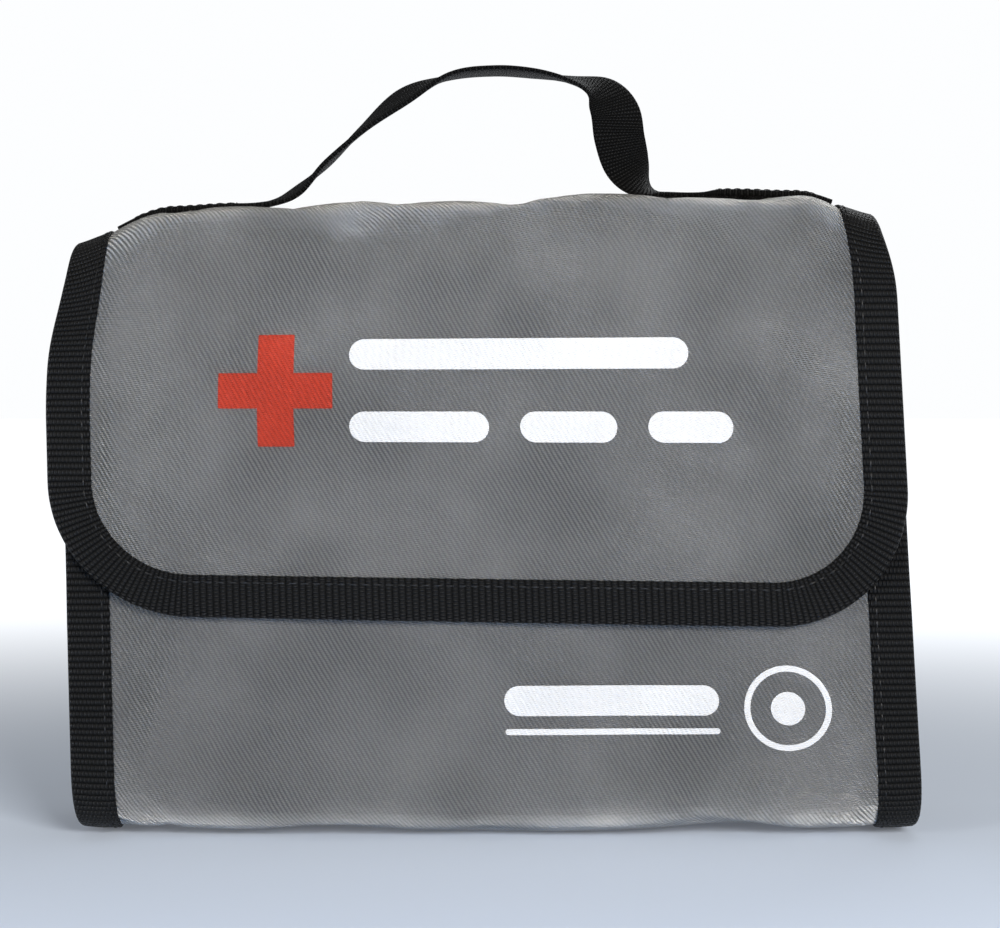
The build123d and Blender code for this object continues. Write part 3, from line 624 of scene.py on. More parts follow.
def simulated_puff():
    """Runs Blender's cloth on the strip and returns how far each grid point moved along
    its normal, in metres."""
    x = np.arange(-CLOTH_HALF, CLOTH_HALF + PUFF_CELL / 2, PUFF_CELL)
    s = np.arange(0, STRIP_END + PUFF_CELL / 2, PUFF_CELL)
    xx, ss = np.meshgrid(x, s)
    start = on_strip(xx, ss, 0)
    points, faces, _ = patch(start, flat_uv(xx, ss))
    mesh = bpy.data.meshes.new("puff_form")
    mesh.from_pydata(points.tolist(), [], faces.tolist())
    form = bpy.data.objects.new("puff_form", mesh)
    bpy.context.collection.objects.link(form)
    held = form.vertex_groups.new(name="seams")
    near_end = (ss < TAPE_WIDTH) | (ss > STRIP_END - TAPE_WIDTH) | (np.abs(ss - LID_MIDDLE) < 10 * MM)
    under_tape = flap_half_width(ss) - np.abs(xx) < TAPE_WIDTH
    pinned = (np.abs(xx) > CLOTH_HALF - TAPE_WIDTH) | near_end | under_tape
    held.add(np.flatnonzero(pinned.ravel()).tolist(), 1.0, "REPLACE")
    settings = form.modifiers.new("cloth", "CLOTH").settings
    settings.quality = 6
    settings.mass = 0.15
    settings.tension_stiffness = settings.compression_stiffness = 18
    settings.shear_stiffness = 9
    settings.bending_stiffness = 1.2
    settings.vertex_group_mass = "seams"
    settings.effector_weights.gravity = 0
    settings.use_pressure = True
    settings.uniform_pressure_force = 1.6
    settings.shrink_min = settings.shrink_max = -0.008
    for number in range(1, 23):
        bpy.context.scene.frame_set(number)
    done = form.evaluated_get(bpy.context.evaluated_depsgraph_get())
    moved = np.empty(len(points) * 3)
    done.data.vertices.foreach_get("co", moved)
    heading = np.interp(ss, path_s, path_heading)
    normal = np.stack([0 * ss, np.sin(heading), -np.cos(heading)], -1)
    puff = ((moved.reshape(start.shape) - start) * normal).sum(-1)
    bpy.data.objects.remove(form)
    bpy.context.scene.frame_set(1)
    return puff


def flap_half_width(s):
    """Half the cloth's width at s: full, and less by R - sqrt(R^2 - d^2) where the flap's corners turn."""
    radius = FLAP_RADIUS - TAPE
    d = np.clip(s - (STRIP_END - radius), 0, radius)
    return CLOTH_HALF - radius + np.sqrt(radius**2 - d**2)


raw_puff = simulated_puff()
puff_table = np.clip(raw_puff, -1.5 * MM, 4 * MM)
print("puff from", round(puff_table.min() / MM, 2), "to", round(puff_table.max() / MM, 2), "mm")

# %% [markdown]
# ## The panels
#
# Each panel is twill over foam, so it is padded, with the thin lining as a sheet of its own behind it.
# The strip is cut in two under the handle, at the middle of the lid.

# %% Case and lid panels
FINE = 2.0 * MM
case_body, lid_body, flap_body = "case", "lid", "flap"


def strip_grid(s_low, s_high, shaped=False):
    """A flat grid over a length of the strip. With shaped, its rows narrow to the flap's round corners."""
    rows = int((s_high - s_low) / FINE) + 1
    t = np.linspace(0, 1, rows)
    s = s_low + (s_high - s_low) * t
    if shaped:
        radius = FLAP_RADIUS - TAPE
        turn = np.linspace(0, np.pi / 2, 26)[1:]
        s = np.concatenate([s[s < s_high - radius - FINE / 2], s_high - radius + radius * np.sin(turn)])
    u = np.linspace(-1, 1, int(2 * CLOTH_HALF / FINE) + 1)
    half = flap_half_width(s) if shaped else np.full(len(s), CLOTH_HALF)
    return half[:, None] * u[None, :], np.broadcast_to(s[:, None], (len(s), len(u)))


def layer(name, grid, h_out, h_in, material):
    """A closed layer of the strip between two heights over the flat pattern."""
    x, s = grid
    outer, inner = on_strip(x, s, h_out), on_strip(x, s, h_in)
    return piece_from(name, slab(outer, inner, flat_uv(x, s)), material)


case_grid = strip_grid(0, LID_MIDDLE)
flap_grid = strip_grid(LID_MIDDLE, STRIP_END, shaped=True)
FOAM_IN = -(PANEL - LINING)

case_panel = layer("case_panel", case_grid, 0, FOAM_IN, twill)
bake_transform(case_panel)
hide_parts("case_twill", "case_foam", "lid_twill", "lid_foam")

case_lining = layer(
    "case_lining_cloth", case_grid, FOAM_IN - 0.02 * MM, -PANEL, lining_cloth
)
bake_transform(case_lining)
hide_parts("case_lining", "lid_lining")

flap_panel = layer("flap_panel", flap_grid, 0, FOAM_IN, twill)
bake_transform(flap_panel)
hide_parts("flap_twill", "flap_foam")

flap_lining = layer(
    "flap_lining_cloth", flap_grid, FOAM_IN - 0.02 * MM, -PANEL, lining_cloth
)
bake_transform(flap_lining)
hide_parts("flap_lining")
print("case panel", len(case_panel.data.polygons), "faces; flap panel", len(flap_panel.data.polygons))

# %% [markdown]
# ## The binding tape
#
# A binding is a tape folded over the raw edge and sewn through. Its section is a narrow U, and it
# is carried along the edge of the flat pattern, so the same function makes the straight side
# tapes, the tape round the flap's corners and the one across the mouth. It puckers slightly, more
# where it goes round a corner.


# %% Tape along an edge of the flat pattern
def tape_section(thickness, width, cloth_thick=TAPE):
    """The folded tape's outline as (inward, height) pairs: a quarter-round selvedge, a flat
    that is slightly crowned, half an ellipse round the raw edge, then the same back inside.
    Also the length run round it."""
    fold, soft = 1.4 * MM, 0.5 * MM
    quarter = np.linspace(0, np.pi / 2, 5)
    selvedge_t, selvedge_h = width - soft + soft * np.cos(quarter), cloth_thick * np.sin(quarter)
    flat = np.linspace(width - soft, fold, 12)[1:]
    turn = np.linspace(0, np.pi, 13)[1:-1]
    middle, rise = -thickness / 2, thickness / 2 + cloth_thick
    out_t = np.concatenate([selvedge_t, flat])
    out_h = np.concatenate([selvedge_h, cloth_thick + 0 * flat])
    crown = 0.30 * MM * np.sin(np.pi * np.clip(out_t / width, 0, 1)) * (thickness > 2 * MM)
    t = np.concatenate([out_t, fold - fold * np.sin(turn), out_t[::-1]])
    h = np.concatenate([out_h + crown, middle + rise * np.cos(turn), -thickness - out_h[::-1]])
    run = np.concatenate([[0], np.cumsum(np.hypot(np.diff(t), np.diff(h)))])
    return t, h, run


def pucker(run, t, bend):
    """Small ripples across the tape: two sines along it, stronger near its free edge and where the edge
    bends."""
    ripple = np.sin(2 * np.pi * run / 0.0071) + 0.6 * np.sin(2 * np.pi * run / 0.0113 + 1.0)
    return ripple * (0.05 + 0.12 * bend) * MM * (0.4 + 0.6 * t / TAPE_WIDTH)


def tape_along(edge, inward, bend, thickness=PANEL, width=TAPE_WIDTH, place=on_strip, cloth_thick=TAPE):
    """Carries the tape's section along an edge (n, 2) with inward directions (n, 2), both in the flat
    pattern. Ripples lift the outside and only a third as much the inside."""
    t, h, around = tape_section(thickness, width, cloth_thick)
    run = np.concatenate([[0], np.cumsum(np.hypot(*np.diff(edge, axis=0).T))])
    flat = edge[:, None, :] + inward[:, None, :] * t[None, :, None]
    outside = np.where(h > -thickness / 2, 1.0, -0.3)[None, :] * cloth_thick / TAPE
    lift = pucker(run[:, None], t[None, :], bend[:, None]) * outside
    points = place(flat[..., 0], flat[..., 1], h[None, :] + lift)
    uv = np.stack(np.broadcast_arrays(np.append(around, around[-1] + thickness)[None, :], run[:, None]), -1)
    return patch(points, uv, close_cols=True)


def straight_edge(start, end, inward, step=1.6 * MM):
    """Points along a straight edge, one inward direction for all, and no bend."""
    count = int(np.hypot(end[0] - start[0], end[1] - start[1]) / step) + 2
    edge = np.linspace(start, end, count)
    return edge, np.broadcast_to(np.array(inward, float), edge.shape), np.zeros(count)


def flap_edge(step=1.6 * MM):
    """The flap's outline in the flat pattern: down one side, a quarter circle, along the end, and back
    up."""
    radius, end = FLAP_RADIUS, STRIP_END + TAPE
    side_x, bottom_x = TAPE_HALF, TAPE_HALF - radius
    side = np.arange(LID_MIDDLE, end - radius, step)
    arc = np.linspace(0, np.pi / 2, int(radius * np.pi / 2 / step))
    bottom = np.linspace(-bottom_x, bottom_x, int(2 * bottom_x / step))
    left_down = np.stack([np.full_like(side, -side_x), side], -1)
    left_arc = np.stack([-bottom_x - radius * np.cos(arc), end - radius + radius * np.sin(arc)], -1)
    along = np.stack([bottom, np.full_like(bottom, end)], -1)
    half = np.concatenate([left_down, left_arc, along[1:-1][: len(along) // 2]])
    other = np.stack([-half[::-1, 0], half[::-1, 1]], -1)
    keep = other[:, 0] > half[-1, 0] + step / 2
    edge = np.concatenate([half, other[keep]])
    heading = np.gradient(edge, axis=0)
    heading /= np.hypot(*heading.T)[:, None]
    inward = np.stack([heading[:, 1], -heading[:, 0]], -1)
    bend = np.clip(np.hypot(*np.gradient(heading, axis=0).T) * radius / step, 0, 1)
    return edge, inward, bend


def ride_strip(piece):
    """Bakes a piece's placement into its mesh."""
    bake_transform(piece)


for side_name, side in (("left", -1), ("right", 1)):
    edge = straight_edge((side * TAPE_HALF, 0), (side * TAPE_HALF, LID_MIDDLE), (-side, 0))
    side_tape = piece_from(f"{side_name}_side_tape", [tape_along(*edge)], tape)
    ride_strip(side_tape)
    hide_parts(f"{side_name}_edge_binding", f"{side_name}_lid_binding")

flap_tape = piece_from("flap_tape", [tape_along(*flap_edge())], tape)
ride_strip(flap_tape)
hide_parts("flap_binding")

mouth_half = edge_low.x - 0.3 * MM
mouth_edge = straight_edge((-mouth_half, -TAPE), (mouth_half, -TAPE), (0, 1))
mouth_tape = piece_from("mouth_tape", [tape_along(*mouth_edge)], tape, body=case_body)
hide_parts("mouth_binding")
print("flap tape", len(flap_tape.data.polygons), "faces")

# %% [markdown]
# ## Prints and fasteners
#
# The prints are thin films pressed onto the cloth, so each one is a very thin layer that takes its outline
# from a flat shape and follows every wave below it. The title is plain rounded bars, the corner mark a ring
# with a dot. The closure is a strip of loop cloth on the front wall and a strip of hooks behind the flap.

# %% Prints on the flat pattern
FILM = 0.12 * MM


def flap_at(z):
    """The strip position of a height on the flap."""
    return np.interp(-z, -on_flap_z, on_flap_s)


def front_at(z):
    """The strip position of a height on the front wall, which runs down from the mouth."""
    return MOUTH - z


def rounded_bar(low, high, radius, count=60):
    """A filled bar as a grid: cosine-spaced columns, each reaching up to the straight or the rounded
    end."""
    u = low[0] + (high[0] - low[0]) * (0.5 - 0.5 * np.cos(np.linspace(0, np.pi, count)))
    inset = np.clip(radius - np.minimum(u - low[0], high[0] - u), 0, radius)
    drop = radius - np.sqrt(np.clip(radius**2 - inset**2, 0, None))
    v = np.linspace(0, 1, 9)
    return np.broadcast_to(u, (9, count)), low[1] + drop + v[:, None] * (high[1] - low[1] - 2 * drop)


def ring_patch(centre, inner, outer, place_s):
    """A ring as one closed band: its section runs out on top and back below, and turns round the centre."""
    out = np.linspace(max(inner, 0.03 * MM), outer, 7)
    radius = np.concatenate([out, out[::-1]])[:, None]
    height = np.repeat([FILM, -0.05 * MM], 7)[:, None]
    angle = np.linspace(0, 2 * np.pi, 73)[None, :]
    x, z = centre[0] + radius * np.cos(angle), centre[1] + radius * np.sin(angle)
    points = on_strip(x[:, :-1], place_s(z[:, :-1]), height)
    x, z = np.vstack([x, x[:1]]), np.vstack([z, z[:1]])
    return patch(points, flat_uv(x, place_s(z)), close_rows=True, close_cols=True)


def print_film(name, grids, place_s, body, front, material, node, rings=()):
    """Thin closed films from flat grids of x and z, laid on the strip at the given height."""
    patches = [ring_patch(*ring, place_s) for ring in rings]
    for x, z in grids:
        s = place_s(z)
        patches += slab(on_strip(x, s, FILM), on_strip(x, s, -0.05 * MM), flat_uv(x, s))
    film = piece_from(name, patches, material, body=body)
    if front:
        ride_strip(film)
    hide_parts(node)
    return film


cross_low, cross_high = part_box("cross_print")
CROSS_UP, CROSS_ASIDE = 1.0 * MM, 3.6 * MM
cross_x = (cross_low.x + cross_high.x) / 2 + CROSS_ASIDE
cross_z = (cross_low.z + cross_high.z) / 2 + CROSS_UP
arm, reach = 4.7 * MM, 14.8 * MM
cross_bars = [
    rounded_bar((cross_x - arm, cross_z - reach), (cross_x + arm, cross_z + reach), 0.3 * MM),
    rounded_bar((cross_x - reach, cross_z - arm), (cross_x - arm, cross_z + arm), 0.3 * MM, 20),
    rounded_bar((cross_x + arm, cross_z - arm), (cross_x + reach, cross_z + arm), 0.3 * MM, 20),
]
print_film("red_cross", cross_bars, flap_at, None, True, red_print, "cross_print")

title_low, title_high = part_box("title_print")
bar_tall = 8 * MM
title_bars = [((title_low.x, title_high.z - bar_tall), (title_low.x + 88 * MM, title_high.z))]
left_end = title_low.x
for length in (36 * MM, 25 * MM, 22 * MM):
    title_bars.append(((left_end, title_low.z), (left_end + length, title_low.z + bar_tall)))
    left_end += length + 8 * MM
title_grids = []
for a, b in title_bars:
    bar_start = (a[0] + CROSS_ASIDE, a[1] + CROSS_UP)
    bar_end = (b[0] + CROSS_ASIDE, b[1] + CROSS_UP)
    title_grids.append(rounded_bar(bar_start, bar_end, bar_tall / 2 - 0.02 * MM))
print_film("title_bars", title_grids, flap_at, None, True, white_print, "title_print")

corner_low, corner_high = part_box("corner_print")
corner_z = (corner_low.z + corner_high.z) / 2
ring_centre = (corner_high.x - 11.5 * MM, corner_z)
bar_low, bar_high = corner_z - 1.5 * MM, corner_z + 6.5 * MM
corner_grids = [
    rounded_bar((corner_low.x, bar_low), (corner_low.x + 56 * MM, bar_high), 3.98 * MM),
    rounded_bar(
        (corner_low.x, bar_low - 5.0 * MM), (corner_low.x + 56 * MM, bar_low - 3.4 * MM), 0.79 * MM
    ),
]
corner_rings = [(ring_centre, 9.9 * MM, 11.5 * MM), (ring_centre, 0, 4.5 * MM)]
print_film(
    "corner_mark", corner_grids, front_at, case_body, False, white_print, "corner_print",
    corner_rings
)

loop_low, loop_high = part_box("loop_strip")
hook_low, hook_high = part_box("hook_strip")
for name, low, high, place_s, h_out, h_in, body, material in (
    ("loop_strip_cloth", loop_low, loop_high, front_at, 0.9 * MM, 0, case_body, loop_tape),
    ("hook_strip_cloth", hook_low, hook_high, flap_at, -PANEL, -PANEL - 0.85 * MM, flap_body, hook_tape),
):
    x, z = rounded_bar((low.x, low.z), (high.x, high.z), 1.5 * MM, 90)
    s = place_s(z)
    strip_patches = slab(on_strip(x, s, h_out), on_strip(x, s, h_in), flat_uv(x, s))
    strip_piece = piece_from(name, strip_patches, material, body=body)
    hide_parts(name[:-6])
print("prints and fasteners done")

# %% [markdown]
# ## The handle
#
# One strap is sewn down along the lid at both ends and stands up as a loop between them. Soft webbing
# never stands as a true arch: here it leans on its left half with its edge to the front, then turns over
# and drops steeply on the right. A table of a few stations gives the place of its middle and the way its
# width points, and a smooth curve through them carries a flat oval section.


# %% The handle strap
def smooth_through(stations, count):
    """Catmull-Rom through the stations, at even steps of station number, then resampled to even lengths."""
    table = np.array(stations, float)
    padded = np.vstack([2 * table[0] - table[1], table, 2 * table[-1] - table[-2]])
    t = np.linspace(0, len(table) - 1 - 1e-9, count * 4)
    k, f = np.floor(t).astype(int), (t % 1)[:, None]
    p0, p1, p2, p3 = (padded[k + i] for i in range(4))
    dense = p1 + 0.5 * f * (p2 - p0 + f * (2 * p0 - 5 * p1 + 4 * p2 - p3 + f * (3 * (p1 - p2) + p3 - p0)))
    run = np.concatenate([[0], np.cumsum(np.linalg.norm(np.diff(dense[:, :3], axis=0), axis=1))])
    even = np.linspace(0, run[-1], count)
    return np.stack([np.interp(even, run, dense[:, c]) for c in range(dense.shape[1])], -1), even


strap_low, strap_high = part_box("right_strap_end")
STRAP_WIDTH, STRAP_THICK = strap_high.y - strap_low.y, strap_high.z - strap_low.z
# Each station: x, rise over the lid, y, then the width's direction as its x part and its z part, all in
# mm or 1.
handle_stations = [
    (-99.4, 1.5, 0, 0, 0),
    (-86, 1.5, 0, 0, 0),
    (-72, 1.7, 0, -0.05, 0),
    (-62, 2.4, 0.2, -0.22, 0.02),
    (-53.5, 6.0, 0.4, -0.30, 0.04),
    (-45, 13.2, 0.3, -0.05, 0.02),
    (-35, 21.6, -0.5, -0.12, 0.10),
    (-23, 30.4, -1.0, -0.26, 0.22),
    (-11, 36.0, -1.0, -0.06, 0.05),
    (1, 37.4, -0.4, 0, 0.02),
    (12, 36.6, 0.2, 0.02, 0.03),
    (21.5, 34.6, 0.4, 0.20, 0.12),
    (29.6, 31.4, 0.2, 0.62, 0.24),
    (33.8, 25.5, -0.4, 0.92, 0.30),
    (35.2, 17.6, -0.8, 0.98, 0.30),
    (37.6, 10.0, -0.6, 0.84, 0.24),
    (42.4, 4.2, -0.2, 0.42, 0.08),
    (49.5, 2.3, 0, 0.08, 0),
    (60, 1.8, 0, 0, 0),
    (80, 1.5, 0, 0, 0),
    (99.4, 1.5, 0, 0, 0),
]
line, run = smooth_through([[v * MM for v in row[:3]] + list(row[3:]) for row in handle_stations], 240)
lid_under = on_strip(line[:, 0], np.full(len(line), LID_MIDDLE), 0)
middle_line = np.stack([line[:, 0], line[:, 2], lid_under[:, 2] + line[:, 1]], -1)
seated = step_up(np.abs(line[:, 0]), 0.055, 0.070)
middle_line[:, 0] += seated * (lid_under[:, 0] - line[:, 0])
tangent = np.gradient(middle_line, axis=0)
tangent /= np.linalg.norm(tangent, axis=1)[:, None]
wide = np.stack([line[:, 3], np.ones(len(line)), line[:, 4]], -1)
wide -= (wide * tangent).sum(1)[:, None] * tangent
wide /= np.linalg.norm(wide, axis=1)[:, None]
proud = np.cross(tangent, wide)
angle = np.linspace(0, 2 * np.pi, 37)[:-1]
oval_w = np.sign(np.cos(angle)) * np.abs(np.cos(angle)) ** 0.35 * STRAP_WIDTH / 2
oval_n = np.sign(np.sin(angle)) * np.abs(np.sin(angle)) ** 0.7 * STRAP_THICK / 2
cup = 0.5 * MM * (1 - seated) * hat(run, 0.05, run[-1] - 0.05)
section_n = oval_n[None, :] + cup[:, None] * ((oval_w / STRAP_WIDTH * 2) ** 2)[None, :]
doubled = 1 + 0.5 * step_up(np.abs(line[:, 0]), 0.056, 0.068)
section_n = section_n * doubled[:, None]
across_strap = wide[:, None, :] * oval_w[None, :, None]
through_strap = proud[:, None, :] * section_n[..., None]
ribbon = middle_line[:, None, :] + across_strap + through_strap
around = np.concatenate([[0], np.cumsum(np.hypot(np.diff(oval_w), np.diff(oval_n)))])
ribbon_uv = np.stack(np.broadcast_arrays(np.append(around, around[-1] * 1.03)[None, :], run[:, None]), -1)
handle_strap = piece_from("handle_webbing_strap", [patch(ribbon, ribbon_uv, close_cols=True)], webbing)
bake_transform(handle_strap)
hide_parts("handle_strap", "left_strap_end", "right_strap_end")
print("strap", round(run[-1] / MM), "mm long, top at", round(middle_line[:, 2].max() / MM), "mm")

# %% [markdown]
# ## Stitches
#
# Each stitch is a short bead of thread pressed into the tape. There are hundreds, so one bead has only a
# few dozen faces, and the whole row is placed at once as arrays.


# %% Rows of stitches
def bead_grid():
    """One stitch as a unit grid: rings of six points along its length, closed at both ends by tiny
    rings."""
    along = np.array([-1, -0.72, 0, 0.72, 1])
    size = np.array([0.05, 0.8, 1.0, 0.8, 0.05])
    turn = np.linspace(0, 2 * np.pi, 7)[:-1]
    return along[:, None] + 0 * turn[None, :], size[:, None] * np.cos(turn), size[:, None] * np.sin(turn)


def stitch_row(line, pitch=3.1 * MM, length=2.3 * MM, thick=0.42 * MM, place=on_strip, height=None):
    """Stitches along a flat line (n, 2): even steps along it, each bead laid in the line's direction."""
    height = TAPE + 0.22 * MM if height is None else height
    run = np.concatenate([[0], np.cumsum(np.hypot(*np.diff(line, axis=0).T))])
    at = np.arange(pitch / 2, run[-1], pitch)

    def line_at(distance):
        return np.stack([np.interp(distance, run, line[:, 0]), np.interp(distance, run, line[:, 1])], -1)

    centre = line_at(at)
    heading = line_at(at + 0.1 * MM) - line_at(at - 0.1 * MM)
    heading /= np.hypot(*heading.T)[:, None]
    side = np.stack([-heading[:, 1], heading[:, 0]], -1)
    u, v, w = bead_grid()
    flat = (
        centre[:, None, None, :]
        + heading[:, None, None, :] * (u * length / 2)[None, ..., None]
        + side[:, None, None, :] * (v * thick / 2)[None, ..., None]
    )
    high = height + (w * thick / 2)[None] * np.ones((len(at), 1, 1)) - 0.10 * MM * (u**2)[None]
    points = place(flat[..., 0], flat[..., 1], high)
    uv = np.zeros((5, 7, 2))
    uv[..., 0] = np.arange(7)[None, :] * 0.2 * MM
    uv[..., 1] = np.arange(5)[:, None] * 0.5 * MM
    return [patch(bead, uv, close_cols=True) for bead in points]


SEAM_IN = TAPE_WIDTH - 1.9 * MM
OUTSIDE, INSIDE = TAPE + 0.20 * MM, -PANEL - TAPE - 0.05 * MM
side_lines, flap_lines = [], []
for side in (-1, 1):
    down = np.linspace(2 * MM, LID_MIDDLE - 2 * MM, 300)
    side_lines.append(np.stack([np.full(300, side * (TAPE_HALF - SEAM_IN)), down], -1))
edge, inward, bend = flap_edge()
flap_lines.append(edge + inward * SEAM_IN)
for name, lines, front, heights in (
    ("side_stitches", side_lines, False, (OUTSIDE, INSIDE)),
    ("flap_stitches", flap_lines, True, (OUTSIDE, INSIDE)),
):
    beads = [bead for row in lines for height in heights for bead in stitch_row(row, height=height)]
    ride_strip(piece_from(name, beads, thread))
    print(name, len(beads))

mouth_line = np.stack(
    [np.linspace(-mouth_half + 2 * MM, mouth_half - 2 * MM, 80), np.full(80, SEAM_IN - TAPE)], -1
)
mouth_beads = stitch_row(mouth_line, height=OUTSIDE) + stitch_row(mouth_line, height=INSIDE)
piece_from("mouth_stitches", mouth_beads, thread, body=case_body)


def on_strap(x, s, h):
    """A point of a sewn strap end: x along it, s across it from the lid's middle, h above its upper
    face."""
    order = np.argsort(line[:, 0])
    order = order[np.abs(line[order, 0]) > 0.058]

    def along(column):
        return np.interp(x, line[order, 0], column[order])

    centre = np.stack([along(middle_line[:, i]) for i in range(3)], -1)
    across = np.stack([along(wide[:, i]) for i in range(3)], -1)
    up = np.stack([along(proud[:, i]) for i in range(3)], -1)
    top = STRAP_THICK / 2 * along(doubled)
    return centre + across * (s - LID_MIDDLE)[..., None] + up * (top + h)[..., None]


box_beads = []
for side in (-1, 1):
    near, far = side * 66 * MM, side * 94 * MM
    half = STRAP_WIDTH / 2 - 2.2 * MM
    corners = [(near, -half), (far, -half), (far, half), (near, half), (near, -half), (far, half)]
    for a, b in list(zip(corners[:-1], corners[1:])) + [((near, half), (far, -half))]:
        row = np.linspace((a[0], LID_MIDDLE + a[1]), (b[0], LID_MIDDLE + b[1]), 12)
        box_beads += stitch_row(row, pitch=2.7 * MM, length=2.0 * MM, place=on_strap, height=-0.06 * MM)
piece_from("strap_box_stitches", box_beads, thread, body=lid_body)

seam_x = np.linspace(-CLOTH_HALF + TAPE_WIDTH - 2 * MM, CLOTH_HALF - TAPE_WIDTH + 2 * MM, 110)[None, :]
seam_s = LID_MIDDLE + np.linspace(-4.5, 4.5, 9)[:, None] * MM
seam_up = 0.45 * MM * np.sqrt(np.clip(1 - ((seam_s - LID_MIDDLE) / (4.6 * MM)) ** 2, 0, 1)) + 0.02 * MM
seam_patches = slab(
    on_strip(seam_x, seam_s, seam_up), on_strip(seam_x, seam_s, -0.2 * MM), flat_uv(seam_x, seam_s)
)
piece_from("lid_felled_seam", seam_patches, twill, body=lid_body)

# %% [markdown]
# ## Inside walls
#
# The side walls are cloth sheets sewn between the front and the back. Two dividers of thin cloth stand
# before and behind the supplies, each with a taped top edge.

# %% Side walls and dividers
inner_y = path_y - PANEL * np.sin(path_heading)
inner_z = path_z + PANEL * np.cos(path_heading)
front_run = path_s < knots[2] + 1 * MM
back_run = (path_s > knots[3] - 1 * MM) & (path_s < knots[5])
wall_low, wall_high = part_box("right_gusset")


def wall_point(across, z, h, side):
    """A side wall's point: y between the two inner faces at that height, x outside by a soft fold down
    its middle that is proud by 2.6 mm, largest halfway up, and h across the cloth."""
    front_y = np.interp(-z, -inner_z[front_run], inner_y[front_run])
    back_y = np.interp(z, inner_z[back_run], inner_y[back_run])
    y = front_y + (back_y - front_y) * across
    fold = 1.9 * MM * hat(across, 0, 1) + 0.9 * MM * np.exp(-(((across - 0.5) / 0.08) ** 2))
    tall = hat(z, wall_low.z - 25 * MM, wall_high.z + 60 * MM)
    x = side * (wall_high.x - GUSSET_THICK + h + fold * tall)
    return settled(np.stack(np.broadcast_arrays(x, y, z), -1))


GUSSET_THICK = wall_high.x - wall_low.x
wall_size = (wall_high.y - wall_low.y, wall_high.z - wall_low.z)
wall_across = np.linspace(0, 1, 33)[None, :]
wall_z = (PANEL + (wall_high.z - PANEL) * np.linspace(0, 1, 72) ** 1.6)[:, None]
for side_name, side in (("left", -1), ("right", 1)):
    outer = wall_point(wall_across, wall_z, GUSSET_THICK, side)
    inner = wall_point(wall_across, wall_z, 0, side)
    wall_uv = flat_uv(wall_across * wall_size[0], wall_z)
    wall = piece_from(
        f"{side_name}_side_wall", slab(outer, inner, wall_uv), twill, body=case_body
    )
    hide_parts(f"{side_name}_gusset")

    def on_wall(across_mm, down, h, side=side):
        """Places a tape on this wall: millimetres across, down from the top edge, and
        height outside the wall."""
        return wall_point(across_mm / wall_size[0], wall_high.z - down, GUSSET_THICK + h, side)

    across_line = np.linspace(1.8 * MM, wall_size[0] - 1.8 * MM, 40)
    wall_edge = np.stack([across_line, np.full(40, -0.8 * MM)], -1)
    downwards = np.broadcast_to(np.array([0.0, 1.0]), wall_edge.shape)
    wall_tape_patch = tape_along(
        wall_edge, downwards, np.zeros(40), thickness=GUSSET_THICK, width=9.6 * MM, place=on_wall,
        cloth_thick=0.78 * MM
    )
    wall_tape = piece_from(
        f"{side_name}_wall_tape", [wall_tape_patch], tape, body=case_body
    )
    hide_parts(f"{side_name}_gusset_binding")

for name, waviness in (("front_divider", 0.35 * MM), ("back_divider", 0.30 * MM)):
    low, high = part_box(name)
    tape_low, tape_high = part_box(name + "_binding")
    thick = high.y - low.y

    def on_divider(x, down, h, low=low, high=high, waviness=waviness):
        """A divider's point: x, down from its top, and height in front of its back face, with slow
        waves."""
        z = high.z - down
        wave = waviness * np.sin(x / 0.019 + z / 0.05) * hat(x, low.x, high.x)
        y = high.y + wave - (high.y - low.y) - h
        return settled(np.stack(np.broadcast_arrays(x, y, z), -1))

    x, down = np.meshgrid(np.linspace(low.x, high.x, 90), np.linspace(0, high.z - low.z, 40))
    divider_patches = slab(on_divider(x, down, 0), on_divider(x, down, -thick), flat_uv(x, down))
    divider = piece_from(
        name + "_cloth", divider_patches, lining_cloth, body=case_body
    )
    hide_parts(name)
    edge = straight_edge(
        (low.x + 0.2 * MM, high.z - tape_high.z), (high.x - 0.2 * MM, high.z - tape_high.z), (0, 1)
    )
    hem_patch = tape_along(
        *edge, thickness=thick, width=tape_high.z - tape_low.z, place=on_divider, cloth_thick=0.55 * MM
    )
    hem = piece_from(name + "_hem", [hem_patch], tape, body=case_body)
    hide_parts(name + "_binding")
print("inside walls done")

# %% [markdown]
# ## Supplies
#
# What is inside shows when the flap and lid are open. Rolls are wound bands, so their ends carry a real
# spiral and the loose end steps down on the side. Packets are two films sealed round a rim. Folded cloth
# shows its layers as grooves round its edge.


